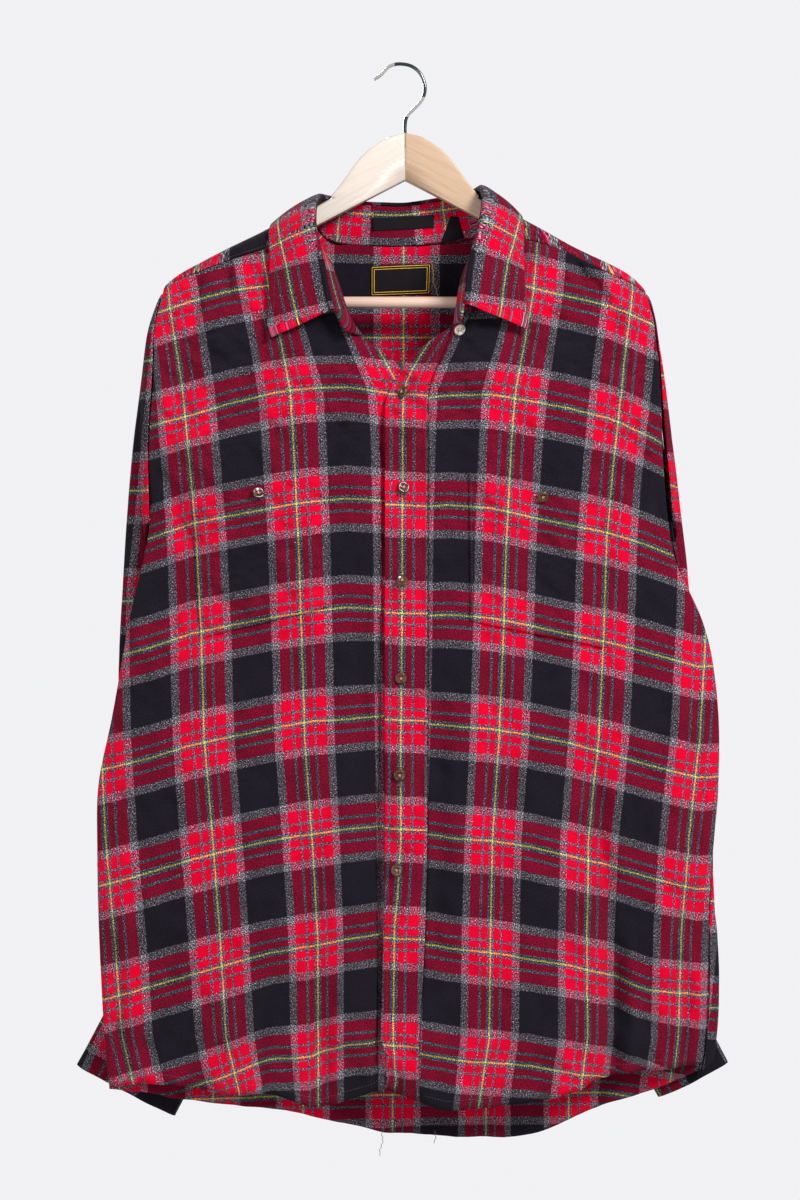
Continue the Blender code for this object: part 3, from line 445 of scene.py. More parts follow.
BACK_GRAIN = Grain(
    family(
        -3,
        "z m3 m2 m1 c p1 p2 p3",
        (-308, -297, -197, -98, 1, 101, 201, 301),
        (-640, -292, -195, -98, -5, 92, 190, 288),
        (-990, -272, -184, -98, -12, 78, 157, 252),
    ),
    level_lines(
        table("x first", (-290, 297), (-200, 282), (0, 279), (200, 276), (290, 292)), 101.4, 9
    ),
)


# ---------------------------------------------------------------- creases and folds
@dataclass(frozen=True)
class Creases:
    """Troughs and ridges, given one by one, each along a line between two places.

    Columns: the two ends, the depth (above 0 goes to +Y) and the half width.
    """

    rows: Rows
    crinkle: float = 0.35  # height of the fine crumpling of washed cloth
    seed: int = 1
    fade: float = 22.0  # how far a crease runs out beyond its two ends
    strength: float = 1.0  # all depths times this
    roundness: float = 1.6  # 1 for a sharp bottom, 2 for a round one
    bend: float = 0.45  # how far a crease strays to its sides, in its half width
    taper: float = 0.28  # how much shallower it is at its two ends

    def with_more(self, rows: Rows) -> "Creases":
        """These creases and more rows of them."""
        joined = {name: np.concatenate([self.rows[name], rows[name]]) for name in rows}
        return replace(self, rows=joined)

    def relief(self, across: np.ndarray, up: np.ndarray) -> np.ndarray:
        """How far each place goes in.

        Args:
            across: the places' X.
            up: their Z.

        Returns:
            The move to +Y in millimetres, crumpling included.
        """
        places = np.stack([across, up], axis=1)
        total = np.zeros(len(places))
        for x0, z0, x1, z1, depth, width in zip(*self.rows.values()):
            start = np.array((x0, z0))
            run = np.array((x1, z1)) - start
            length = float(np.hypot(*run))
            share = (places - start) @ run / length**2
            side = ((places - start) @ np.array((-run[1], run[0]))) / length
            bend = waves(places, int(abs(x0 + z0)), length * 0.9, 3) * width * self.bend
            beyond = np.maximum(np.maximum(-share, share - 1), 0) * length
            swell = 1 - self.taper * (1 - np.sin(math.pi * np.clip(share, 0, 1)))
            profile = np.abs((side + bend) / width) ** self.roundness + (beyond / self.fade) ** 2
            total += self.strength * depth * swell * np.exp(-profile)
        fine = waves(places, self.seed, 26) + 0.5 * waves(places, self.seed + 1, 12)
        ridged = np.abs(waves(places, self.seed + 3, 34, 5))
        upright = waves(places * (1, 0.35), self.seed + 2, 46, 8)
        return total + self.crinkle * (fine - 0.9 * ridged + 1.4 * upright)


FRONT_CREASES = Creases(
    table(
        "x0 z0 x1 z1 depth width",
        (182, -696, 200, -890, 4.0, 8),
        (200, -880, 194, -962, 4.4, 7),
        (214, -850, 212, -955, -2.2, 8),
        (172, -780, 178, -950, -1.6, 9),
        (150, -178, 172, -214, 2.4, 5),
        (168, -196, 186, -228, 2.0, 5),
        (184, -190, 205, -232, -1.2, 6),
        (-194, -202, -197, -242, 2.2, 3.5),
        (-168, -192, -165, -230, 2.4, 3.5),
        (-178, -200, -178, -232, -0.8, 6),
        (-212, -214, -222, -256, 0.9, 5),
        (-80, -880, -74, -992, 2.6, 8),
        (-64, -930, -66, -990, -1.8, 7),
        (-56, -948, -24, -988, 1.8, 4),
        (-40, -520, -36, -890, 2.0, 11),
        (-56, -560, -52, -800, -1.3, 12),
        (31, -610, 28, -890, 2.0, 9),
        (46, -640, 42, -860, -1.3, 11),
        (130, -952, 190, -978, 1.4, 5),
        (150, -944, 176, -990, -1.2, 6),
        (-274, -850, -268, -962, 2.0, 6),
        (-262, -840, -256, -960, -1.5, 7),
        (268, -884, 264, -950, 1.9, 5),
        (279, -890, 276, -952, -1.5, 5),
        (-196, -540, -214, -566, 1.4, 5),
        (-190, -552, -196, -590, -1.0, 6),
        (184, -556, 200, -580, 1.4, 5),
        (190, -548, 214, -556, -1.0, 5),
        (-228, -300, -196, -352, 1.2, 9),
        (-222, -356, -178, -398, -1.2, 9),
        (-236, -392, -190, -470, 1.4, 10),
        (228, -310, 206, -360, 1.2, 9),
        (236, -380, 206, -452, 1.6, 10),
        (224, -330, 180, -372, -1.2, 9),
        (-122, -620, -152, -700, 1.0, 14),
        (-150, -730, -118, -820, -1.2, 16),
        (-176, -640, -196, -742, 1.2, 15),
        (-226, -600, -240, -716, -1.4, 16),
        (-240, -740, -228, -838, 1.4, 14),
        (96, -620, 112, -718, 1.0, 15),
        (128, -760, 104, -850, -1.2, 16),
        (146, -640, 130, -740, 1.2, 15),
        (238, -600, 244, -720, 1.4, 15),
        (258, -640, 262, -770, -1.3, 14),
        (236, -790, 244, -862, -1.4, 12),
        (-120, -862, -138, -962, 1.6, 12),
        (-156, -880, -170, -970, -1.6, 13),
        (-196, -900, -206, -972, 1.8, 11),
        (92, -880, 86, -988, 1.6, 12),
        (66, -900, 60, -990, -1.4, 12),
        (232, -900, 228, -956, 1.6, 8),
        (-60, -310, -72, -420, 0.9, 14),
        (52, -300, 58, -400, 0.9, 14),
        (-108, -300, -126, -372, -0.9, 14),
        (112, -300, 134, -380, -0.9, 14),
    ),
    crinkle=1.7,
    seed=11,
    strength=2.6,
)
PLACKET_SHADOW = table(
    "x0 z0 x1 z1 depth width",
    (-20.6, -350, -20.8, -520, 3.6, 3.2),
    (-21.3, -540, -22.9, -690, 4.6, 3.8),
    (-22.9, -710, -23.0, -838, 4.8, 3.8),
    (-22.8, -858, -24.8, -962, 4.8, 3.5),
)
PLACKET_CREASES = table(
    "x0 z0 x1 z1 depth width",
    (-24, -929, 8, -938, 1.3, 2.6),
    (-20, -921, 10, -929, -0.7, 3.5),
    (-22, -948, 4, -952, -0.8, 3.5),
    (-18, -958, 6, -956, 0.8, 2.4),
    (-20, -968, 8, -972, -0.5, 3.0),
    (-20, -840, 12, -846, 0.5, 4.0),
    (-18, -760, 14, -752, 0.5, 4.0),
)
BACK_CREASES = Creases(
    table(
        "x0 z0 x1 z1 depth width",
        (-150, -330, -132, -520, -2.2, 12),
        (-118, -330, -108, -470, 1.6, 10),
        (-60, -320, -70, -520, -1.6, 14),
        (44, -320, 52, -500, 1.8, 12),
        (70, -330, 82, -560, -2.2, 13),
        (150, -330, 138, -500, 2.0, 12),
        (-210, -430, -160, -560, 2.2, 11),
        (206, -440, 162, -580, -2.4, 11),
        (-232, -600, -214, -800, -2.2, 15),
        (-178, -640, -160, -880, 2.0, 16),
        (-96, -620, -108, -900, -2.2, 16),
        (-20, -600, -8, -960, 2.4, 16),
        (30, -660, 44, -990, -2.0, 15),
        (120, -640, 132, -920, 2.4, 16),
        (214, -620, 226, -900, -2.2, 15),
        (-150, -900, -140, -1000, 1.8, 8),
        (-70, -930, -64, -1016, -1.8, 9),
        (20, -950, 24, -1024, 1.6, 8),
        (96, -930, 104, -1024, -1.8, 9),
        (170, -900, 176, -1000, 1.8, 9),
        (-260, -700, -266, -900, 1.8, 12),
        (262, -700, 268, -880, -1.8, 12),
        (270, -820, 274, -950, 1.6, 9),
    ),
    crinkle=0.4,
    seed=23,
)
YOKE_CREASES = Creases(
    table(
        "x0 z0 x1 z1 depth width",
        (-170, -214, -150, -300, 1.6, 10),
        (-120, -200, -112, -296, -1.4, 10),
        (128, -196, 120, -300, 1.6, 10),
        (182, -222, 166, -300, -1.6, 10),
        (-210, -240, -196, -300, -1.5, 9),
        (212, -244, 204, -300, 1.5, 9),
    ),
    crinkle=0.3,
    seed=37,
)
SLEEVE_CREASES = Creases(
    table(
        "x0 z0 x1 z1 depth width",
        (-248, -300, -262, -420, 1.6, 7),
        (-246, -480, -196, -560, 2.6, 10),
        (-258, -540, -180, -640, -2.4, 12),
        (-262, -600, -168, -700, 2.8, 12),
        (-268, -680, -150, -742, -2.8, 12),
        (-262, -740, -140, -772, 3.0, 10),
        (-268, -800, -150, -812, -2.6, 11),
        (-262, -850, -170, -860, 2.2, 10),
        (-220, -640, -206, -760, 2.0, 12),
        (-268, -880, -214, -906, -1.8, 8),
        (248, -310, 262, -430, 1.6, 7),
        (246, -480, 204, -556, 2.6, 10),
        (258, -540, 190, -630, -2.4, 12),
        (264, -596, 176, -690, 2.8, 12),
        (270, -676, 158, -738, -2.8, 12),
        (264, -742, 148, -772, 3.0, 10),
        (270, -800, 160, -812, -2.6, 11),
        (262, -846, 178, -862, 2.2, 10),
        (226, -650, 210, -756, 2.0, 12),
    ),
    crinkle=0.4,
    seed=41,
)
STILL = Creases(table("x0 z0 x1 z1 depth width", (0, 0, 1, 1, 0, 1)), crinkle=0.16, seed=53)


# ---------------------------------------------------------------- shader expressions
class Graph:
    """A material's node tree, built from Python expressions."""

    def __init__(self, name: str) -> None:
        """Starts an empty material.

        Args:
            name: the material's name.
        """
        self.material = bpy.data.materials.new(name)
        self.material.use_nodes = True
        self.tree = self.material.node_tree
        self.tree.nodes.clear()

    def node(
        self,
        kind: str,
        settings: dict[str, Any] | None = None,
        inputs: dict[Any, Any] | None = None,
        output: int | str = 0,
    ) -> "Signal":
        """Adds a node.

        Args:
            kind: the shader node's type, without its ShaderNode beginning.
            settings: its settings, which are set first; stops are a ramp's stops.
            inputs: values or signals for its sockets.
            output: which of its outputs the returned signal is.

        Returns:
            The node's output.
        """
        made = self.tree.nodes.new("ShaderNode" + kind)
        for name, value in (settings or {}).items():
            if name == "stops":
                self._set_stops(made.color_ramp, value)
            else:
                setattr(made, name, value)
        for name, value in (inputs or {}).items():
            socket = made.inputs[name]
            if isinstance(value, Signal):
                self.tree.links.new(value.socket, socket)
            else:
                socket.default_value = value
        return Signal(self, made.outputs[output])

    @staticmethod
    def _set_stops(ramp: bpy.types.ColorRamp, stops: Sequence[tuple[float, Colour]]) -> None:
        """Gives a ramp its stops, in rising order."""
        while len(ramp.elements) < len(stops):
            ramp.elements.new(1.0)
        for element, (place, colour) in zip(ramp.elements, stops):
            element.position = place
            element.color = colour

    def ramp(self, factor: "Signal", stops: Sequence[tuple[float, Colour]]) -> "Signal":
        """The ramp's colour at this factor."""
        return self.node("ValToRGB", {"stops": stops}, {"Fac": factor})

    def mix(self, factor: Any, first: Any, second: Any) -> "Signal":
        """A colour between two."""
        return self.node("Mix", {"data_type": "RGBA"}, {0: factor, 6: first, 7: second}, 2)

    def noise(self, place: "Signal", scale: float, detail: float = 2.0) -> "Signal":
        """Noise between 0 and 1."""
        settings = {"noise_dimensions": "3D"}
        return self.node("TexNoise", settings, {"Vector": place, "Scale": scale, "Detail": detail})

    def flat_noise(self, place: "Signal", across: float, up: float, detail: float) -> "Signal":
        """Noise between 0 and 1 on a UV map, this fine across and up."""
        inputs = {"Vector": self.stretched(place, (across, up, 0)), "Scale": 1.0, "Detail": detail}
        return self.node("TexNoise", {"noise_dimensions": "2D"}, inputs)

    def scaled(self, vector: Any, factor: Any) -> "Signal":
        """A vector or colour times a number."""
        return self.node("VectorMath", {"operation": "SCALE"}, {0: vector, "Scale": factor})

    def stretched(self, vector: "Signal", factors: Sequence[float]) -> "Signal":
        """A vector with each part times its own number."""
        return self.node("VectorMath", {"operation": "MULTIPLY"}, {0: vector, 1: factors})

    def object_place(self) -> "Signal":
        """The place on the object, in metres."""
        return self.node("TexCoord", output="Object")

    def surface(self, **sockets: Any) -> bpy.types.Material:
        """Ends the material with a Principled surface.

        Args:
            sockets: values or signals for its sockets, spaces in names as underscores.

        Returns:
            The finished material.
        """
        inputs = {name.replace("_", " "): value for name, value in sockets.items()}
        shader = self.node("BsdfPrincipled", inputs=inputs)
        end = self.tree.nodes.new("ShaderNodeOutputMaterial")
        self.tree.links.new(shader.socket, end.inputs["Surface"])
        return self.material

    def bump(self, height: "Signal", distance: float, strength: float = 1.0) -> "Signal":
        """A normal from heights between 0 and 1, this far apart in metres."""
        inputs = {"Height": height, "Distance": distance, "Strength": strength}
        return self.node("Bump", inputs=inputs)


class Signal:
    """A shader socket that takes part in Python expressions."""

    def __init__(self, graph: Graph, socket: bpy.types.NodeSocket) -> None:
        """Wraps a node's output.

        Args:
            graph: the tree that the node is in.
            socket: the output.
        """
        self.graph = graph
        self.socket = socket

    def _math(self, operation: str, *others: Any) -> "Signal":
        """A Math node on this signal and others."""
        return self.graph.node("Math", {"operation": operation}, dict(enumerate((self, *others))))

    def __add__(self, other: Any) -> "Signal":
        """The sum."""
        return self._math("ADD", other)

    __radd__ = __add__

    def __mul__(self, other: Any) -> "Signal":
        """The product."""
        return self._math("MULTIPLY", other)

    __rmul__ = __mul__

    def __sub__(self, other: Any) -> "Signal":
        """The difference."""
        return self._math("SUBTRACT", other)

    def __rsub__(self, other: float) -> "Signal":
        """A number less this signal."""
        return self.graph.node("Math", {"operation": "SUBTRACT"}, {0: other, 1: self})

    def __truediv__(self, other: Any) -> "Signal":
        """The quotient."""
        return self._math("DIVIDE", other)

    def __lt__(self, other: Any) -> "Signal":
        """1 where this signal is less, or else 0."""
        return self._math("LESS_THAN", other)

    def __gt__(self, other: Any) -> "Signal":
        """1 where this signal is more, or else 0."""
        return self._math("GREATER_THAN", other)

    def __abs__(self) -> "Signal":
        """The size without its sign."""
        return self._math("ABSOLUTE")

    def fraction(self) -> "Signal":
        """What is left over a whole number."""
        return self._math("FRACT")

    def sine(self) -> "Signal":
        """The sine, of an angle in radians."""
        return self._math("SINE")

    def lower(self, other: "Signal") -> "Signal":
        """The lower of two signals."""
        return self._math("MINIMUM", other)

    def part(self, axis: str) -> "Signal":
        """One coordinate of a vector."""
        return self.graph.node("SeparateXYZ", inputs={"Vector": self}, output=axis)

    def opacity(self) -> "Signal":
        """A ramp's second channel."""
        return Signal(self.graph, self.socket.node.outputs["Alpha"])


def coded(red: float, green: float, blue: float, second: float = 1.0) -> Colour:
    """A screen colour of 0 to 255 as shares, with a second channel."""
    return (red / 255, green / 255, blue / 255, second)


def linear(red: float, green: float, blue: float) -> Colour:
    """A screen colour of 0 to 255 as a shader's own."""
    return tuple((value / 255) ** 2.2 for value in (red, green, blue)) + (1.0,)


# ---------------------------------------------------------------- finishes
@dataclass(frozen=True)
class Flannel:
    """Brushed plaid twill: two crossing sets of coloured bands with a soft nap."""

    red: Colour = coded(240, 0, 52, 0.08)
    black: Colour = coded(36, 33, 41, 0.25)
    heather: Colour = coded(105, 100, 106, 1.0)
    thin_grey: Colour = coded(86, 94, 103, 0.9)
    yellow: Colour = coded(252, 236, 104, 0.2)
    edges: tuple[float, ...] = (0.00785, 0.0369, 0.0929, 0.1219, 0.2229, 0.3009)
    softness: float = 0.0035
    yellow_weight: float = 1.12
    thin_red: float = 0.38  # how much less a red yarn covers than the others
    dashes: float = 46.0  # how often the twill lets a yellow yarn float, in a repeat
    dash_strength: float = 0.55
    fleck_strength: float = 6.8
    shown_through: float = 1.7  # how much flecks of one set of yarns break the other
    fuzz_size: float = 110.0  # these say how fine each noise is, in a repeat
    fleck_size: float = 96.0
    nap_size: float = 84.0
    yarn_size: tuple[float, float] = (112.0, 84.0)
    wash_size: tuple[float, float] = (3.1, 2.6)
    twill_lines: float = 105.0
    waver: float = 0.008  # how far fuzz moves a band's edge
    screen_power: float = 2.2

    def bands(self) -> list[tuple[float, Colour]]:
        """The bands outwards from a yellow line, as a ramp's stops over half a repeat."""
        order = (
            self.yellow,
            self.thin_grey,
            self.red,
            self.thin_grey,
            self.red,
            self.heather,
            self.black,
        )
        stops = []
        for edge, inside, outside in zip(self.edges, order, order[1:]):
            soft = min(self.softness, edge / 3)
            stops.append((2 * (edge - soft), inside))
            stops.append((2 * (edge + soft), outside))
        return stops

    def build(self) -> bpy.types.Material:
        """Makes the cloth's material, which reads the pattern from the UV map."""
        graph = Graph("flannel")
        place = graph.node("UVMap", {"uv_map": "plaid"})
        across, down = place.part("X"), place.part("Y")
        fuzz = graph.flat_noise(place, self.fuzz_size, self.fuzz_size, 3.0) - 0.5
        fleck = graph.flat_noise(place, self.fleck_size, self.fleck_size, 3.0) - 0.5
        size = self.yarn_size
        warp, warp_weight = self._yarns(graph, across + fuzz * self.waver, size, place, down)
        weft, weft_weight = self._yarns(graph, down + fuzz * self.waver, size[::-1], place, across)
        shown = weft_weight / (warp_weight + weft_weight) + self.shown_through * fleck
        woven = graph.mix(shown, warp, weft)
        nap = graph.flat_noise(place, self.nap_size, self.nap_size, 4.0)
        wash = graph.flat_noise(place, *self.wash_size, 3.0)
        tone = 0.49 + 0.28 * nap + 0.1 * wash
        shaded = graph.scaled(woven, tone)
        colour = graph.node("Gamma", inputs={"Color": shaded, "Gamma": self.screen_power})
        turn = 2 * math.pi * self.twill_lines
        twill = (across * turn + down * turn).sine() * 0.5 + 0.5
        height = 0.45 * nap + 0.3 * twill + 0.25 * fuzz
        return graph.surface(
            Base_Color=colour,
            Roughness=0.94,
            Specular_IOR_Level=0.015,
            Sheen_Weight=0.015,
            Sheen_Roughness=0.55,
            Sheen_Tint=(1.0, 0.86, 0.86, 1.0),
            Normal=graph.bump(height, 0.0008, 0.8),
        )

    def _yarns(
        self, graph: Graph, index: Signal, size: Sequence[float], place: Signal, along: Signal
    ) -> tuple[Signal, Signal]:
        """One set of yarns.

        Args:
            graph: the material's tree.
            index: the pattern's index across the yarns.
            size: how fine its flecks are in a repeat, in the map's two directions.
            place: the pattern's indices.
            along: the pattern's index along the yarns.

        Returns:
            The yarns' colour, and their weight against the other set.
        """
        from_line = abs((index + 0.5).fraction() - 0.5)
        band = graph.ramp(from_line * 2, self.bands())
        fleck = graph.flat_noise(place, *size, 1.5) - 0.5
        tone = 1 + fleck * band.opacity() * self.fleck_strength
        floats = (along * (2 * math.pi * self.dashes)).sine() * self.dash_strength
        cover = 1 - self.thin_red * (band.part("X") - band.part("Y"))
        weight = cover + (from_line < self.edges[0]) * (floats + (self.yellow_weight - 1))
        return graph.scaled(band, tone), weight


@dataclass(frozen=True)
class Horn:
    """Polished horn-look resin with cloudy brown and grey streaks."""

    name: str = "horn"
    dark: Colour = linear(24, 13, 6)
    light: Colour = linear(68, 42, 20)
    cloud_way: Place = (1.0, 1.0, 0.45)  # streaks run along Z
    cloud_size: float = 260.0  # clouds in a metre

    def build(self) -> bpy.types.Material:
        """Makes the buttons' material."""
        graph = Graph(self.name)
        place = graph.object_place()
        cloud = graph.noise(graph.stretched(place, self.cloud_way), self.cloud_size, 5.0)
        colour = graph.ramp(cloud, [(0.34, self.dark), (0.66, self.light)])
        return graph.surface(
            Base_Color=colour,
            Roughness=0.22 + 0.14 * cloud,
            Specular_IOR_Level=0.25,
            Coat_Weight=0.35,
            Coat_Roughness=0.09,
        )


@dataclass(frozen=True)
class Wood:
    """Pale lacquered wood with a straight fine grain along the hanger's arm."""

    name: str
    dark: Colour
    light: Colour
    grain_way: Place  # grain lines in a metre along X, Y and Z
    roughness: float = 0.38
    tilt: float = 0.0  # the grain's turn about Y, in radians
    pore_way: Place = (2.2, 5.0, 5.0)  # pores in a grain line's width
    broad_way: Place = (9.0, 14.0, 14.0)  # broad figures in a metre

    def build(self) -> bpy.types.Material:
        """Makes the wood's material."""
        graph = Graph(self.name)
        turned = graph.node(
            "Mapping",
            {"vector_type": "POINT"},
            {"Vector": graph.object_place(), "Rotation": (0.0, self.tilt, 0.0)},
        )
        long = graph.stretched(turned, self.grain_way)
        figure = graph.noise(long, 1.0, 4.0)
        pores = graph.noise(graph.stretched(long, self.pore_way), 1.0)
        broad = graph.noise(graph.stretched(turned, self.broad_way), 1.0)
        tone = 0.55 * figure + 0.2 * pores + 0.25 * broad
        colour = graph.ramp(tone, [(0.36, self.dark), (0.62, self.light)])
        return graph.surface(
            Base_Color=colour,
            Roughness=self.roughness + 0.12 * pores,
            Coat_Weight=0.15,
            Coat_Roughness=0.25,
            Normal=graph.bump(figure * 0.6 + pores * 0.4, 0.0003, 0.4),
        )


@dataclass(frozen=True)
class Steel:
    """Bright plated wire, with painted dark reflections on one side of the bend and on the lower
    stem.
    """

    bright: Colour = (0.5, 0.49, 0.46, 1.0)
    painted_dark_reflection: Colour = (0.05, 0.055, 0.055, 1.0)
    bend_side: float = -0.01  # the bend is painted dark, as a reflection, to this side and above the next height
    bend_height: float = -0.03
    stem_top: float = -0.049  # and so is the stem below this height

    def build(self) -> bpy.types.Material:
        """Makes the hook's material."""
        graph = Graph("hook_steel")
        place = graph.object_place()
        rub = graph.noise(place, 180.0, 3.0)
        x, z = place.part("X"), place.part("Z")
        # painted dark reflection: the bend to one side and above a height, and the stem below another
        painted_dark_reflection = (x > self.bend_side) * (z > self.bend_height) + (z < self.stem_top)
        return graph.surface(
            Base_Color=graph.mix(painted_dark_reflection, self.bright, self.painted_dark_reflection),
            Metallic=1.0,
            Roughness=0.12 + 0.12 * rub,
        )


@dataclass(frozen=True)
class LabelWeave:
    """Black woven ribbon with a plain border of gold yarn, read from the UV map."""

    name: str
    borders: tuple[float, ...]  # distances of the gold lines from the label's edge, in mm
    size: tuple[float, float]
    line: float = 0.45
    ribs: float = 2.0  # in a millimetre, as the yarns are
    yarns: float = 3.0
    ground: Colour = linear(22, 19, 22)
    gold: Colour = linear(178, 140, 52)

    def build(self) -> bpy.types.Material:
        """Makes a label's material. Its UV map runs from 0 to 1 over the label."""
        graph = Graph(self.name)
        place = graph.node("UVMap", {"uv_map": "face"})
        width, height = self.size
        side = (0.5 - abs(place.part("X") - 0.5)) * width
        end = (0.5 - abs(place.part("Y") - 0.5)) * height
        from_edge = side.lower(end)
        mask: Signal | float = 0.0
        for distance in self.borders:
            mask = (abs(from_edge - distance) < self.line / 2) + mask
        ribs = (place.part("Y") * (height * 2 * math.pi * self.ribs)).sine() * 0.5 + 0.5
        yarn = graph.flat_noise(place, width * self.yarns, height * self.yarns, 2.0)
        shade = graph.scaled(graph.mix(mask, self.ground, self.gold), 0.75 + 0.5 * yarn)
        return graph.surface(
            Base_Color=shade,
            Roughness=0.8,
            Specular_IOR_Level=0.06,
            Normal=graph.bump(ribs * 0.5 + yarn * 0.5, 0.0002, 0.6),
        )


@dataclass(frozen=True)
class Thread:
    """Spun sewing thread."""

    name: str
    colour: Colour

    def build(self) -> bpy.types.Material:
        """Makes the thread's material."""
        graph = Graph(self.name)
        fibre = graph.noise(graph.object_place(), 2400.0, 2.0)
        colour = graph.scaled(self.colour[:3], 0.7 + 0.6 * fibre)
        return graph.surface(Base_Color=colour, Roughness=0.8, Sheen_Weight=0.2)


@dataclass(frozen=True)
class Paint:
    """A plain matt surface of the studio."""

    name: str
    shade: float

    def build(self) -> bpy.types.Material:
        """Makes the surface's material."""
        graph = Graph(self.name)
        speckle = graph.noise(graph.object_place(), 30.0, 2.0)
        tone = graph.scaled((1, 1, 1), self.shade + 0.02 * speckle)
        return graph.surface(Base_Color=tone, Roughness=0.95)


class Finish(Enum):
    """The record's material slots."""

    FLANNEL = "flannel"
    HORN = "horn"
    LABEL = "woven_label"
    WOOD = "hanger_wood"
    BAR = "bar_wood"
    STEEL = "hook_steel"


# ---------------------------------------------------------------- mesh helpers
def as_points(mesh: bpy.types.Mesh) -> np.ndarray:
    """The mesh's vertices in millimetres, one row for each."""
    values = np.empty(len(mesh.vertices) * 3)
    mesh.vertices.foreach_get("co", values)
    return values.reshape(-1, 3) / MM


def set_points(mesh: bpy.types.Mesh, points: np.ndarray) -> None:
    """Moves the mesh's vertices to these places in millimetres."""
    mesh.vertices.foreach_set("co", (points * MM).ravel())
    mesh.update()


def set_map(mesh: bpy.types.Mesh, name: str, values: np.ndarray) -> None:
    """Gives the mesh a UV map from one pair of values for each vertex."""
    layer = mesh.uv_layers.new(name=name)
    corners = np.empty(len(mesh.loops), dtype=np.int32)
    mesh.loops.foreach_get("vertex_index", corners)
    layer.data.foreach_set("uv", values[corners].ravel())


def add_object(name: str, mesh: bpy.types.Mesh) -> bpy.types.Object:
    """An object of this mesh, in the scene."""
    made = bpy.data.objects.new(name, mesh)
    bpy.context.scene.collection.objects.link(made)
    return made


def add_piece(
    name: str, mesh: bpy.types.Mesh, material: bpy.types.Material
) -> bpy.types.Object:
    """An object of this mesh, riding on the body.

    Args:
        name: the piece's name.
        mesh: its mesh, in metres and in its place.
        material: its material.

    Returns:
        The new piece.
    """
    mesh.materials.clear()
    mesh.materials.append(material)
    piece = add_object(name, mesh)
    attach(piece, BODY)
    LOG.info("%s: %d faces", name, len(mesh.polygons))
    return piece


def from_bmesh(name: str, shape: bmesh.types.BMesh) -> bpy.types.Mesh:
    """Ends a bmesh as a mesh with soft shading."""
    mesh = bpy.data.meshes.new(name)
    shape.to_mesh(mesh)
    shape.free()
    mesh.shade_smooth()
    return mesh


def modified(mesh: bpy.types.Mesh, kind: str, **settings: Any) -> bpy.types.Mesh:
    """What a modifier of this kind makes of the mesh, as a new mesh."""
    rough = add_object(mesh.name + "_rough", mesh)
    modifier = rough.modifiers.new("change", kind)
    for name, value in settings.items():
        setattr(modifier, name, value)
    held = rough.evaluated_get(bpy.context.evaluated_depsgraph_get())
    changed = bpy.data.meshes.new_from_object(held)
    bpy.data.objects.remove(rough)
    return changed


def subdivided(mesh: bpy.types.Mesh, levels: int) -> bpy.types.Mesh:
    """A Subdivision Surface of the mesh, on its limit, with soft shading."""
    corners = "PRESERVE_CORNERS"
    finer = modified(mesh, "SUBSURF", levels=levels, render_levels=levels, boundary_smooth=corners)
    finer.shade_smooth()
    return finer


@dataclass(frozen=True)
class Smoothing:
    """How a solid's facets are turned into a smooth surface through its own corners."""

    levels: int = 3
    rim_angle: float = 66.0  # faces that meet more sharply than this keep their edge
    join_angle: float = 40.0  # triangles that meet more flatly than this are rejoined
    rounds: int = 2  # how often the control points are moved out
    share: float = 0.85  # how much of the gap each round takes up
    shape_angle: float = 75.0  # how far a rejoined face may be from a rectangle
    merge: float = 0.02
    rim_step: float = 4.0

    def control(self, solid: bpy.types.Mesh) -> tuple[bmesh.types.BMesh, np.ndarray]:
        """The solid's own grid with its sharp edges marked.

        Args:
            solid: a closed body of loose triangles.

        Returns:
            The grid, and places along its sharp edges in millimetres.
        """
        shape = bmesh.new()
        shape.from_mesh(solid)
        bmesh.ops.remove_doubles(shape, verts=shape.verts, dist=self.merge * MM)
        bmesh.ops.join_triangles(
            shape,
            faces=shape.faces,
            angle_face_threshold=math.radians(self.join_angle),
            angle_shape_threshold=math.radians(self.shape_angle),
        )
        edge_crease = shape.edges.layers.float.new("crease_edge")
        corner_crease = shape.verts.layers.float.new("crease_vert")
        rim = []
        for edge in shape.edges:
            if len(edge.link_faces) != 2 or edge.calc_face_angle(0) < math.radians(self.rim_angle):
                continue
            edge[edge_crease] = 1.0
            first, last = (vertex.co / MM for vertex in edge.verts)
            count = max(2, int(edge.calc_length() / MM / self.rim_step) + 1)
            rim.extend(first.lerp(last, step / count) for step in range(count + 1))
        for vertex in shape.verts:
            if sum(edge[edge_crease] > 0 for edge in vertex.link_edges) > 2:
                vertex[corner_crease] = 1.0
        return shape, np.array(rim)

    def apply(self, solid: bpy.types.Mesh) -> tuple[bpy.types.Mesh, np.ndarray]:
        """A smooth copy of a solid.

        Args:
            solid: the solid's mesh, which stays as it is.

        Returns:
            The copy, and places along its sharp edges in millimetres.
        """
        shape, rim = self.control(solid)
        mesh = from_bmesh(solid.name + "_smooth", shape)
        wanted = as_points(mesh)
        points = wanted.copy()
        for _ in range(self.rounds):
            reached = as_points(subdivided(mesh, 1))[: len(wanted)]
            points += self.share * (wanted - reached)
            set_points(mesh, points)
        finer = subdivided(mesh, self.levels)
        for name in ("crease_edge", "crease_vert"):
            found = finer.attributes.get(name)
            if found is not None:
                finer.attributes.remove(found)
        return finer, rim


def distances(points: np.ndarray, goals: np.ndarray, reach: float) -> np.ndarray:
    """How far each point is from the nearest goal, exact within the reach."""
    away = np.full(len(points), 10 * reach)
    if not len(goals):
        return away
    tree = KDTree(len(goals))
    for index, goal in enumerate(goals):
        tree.insert(goal, index)
    tree.balance()
    low, high = goals.min(axis=0) - reach, goals.max(axis=0) + reach
    for index in np.nonzero(((points > low) & (points < high)).all(axis=1))[0]:
        away[index] = tree.find(points[index])[2]
    return away


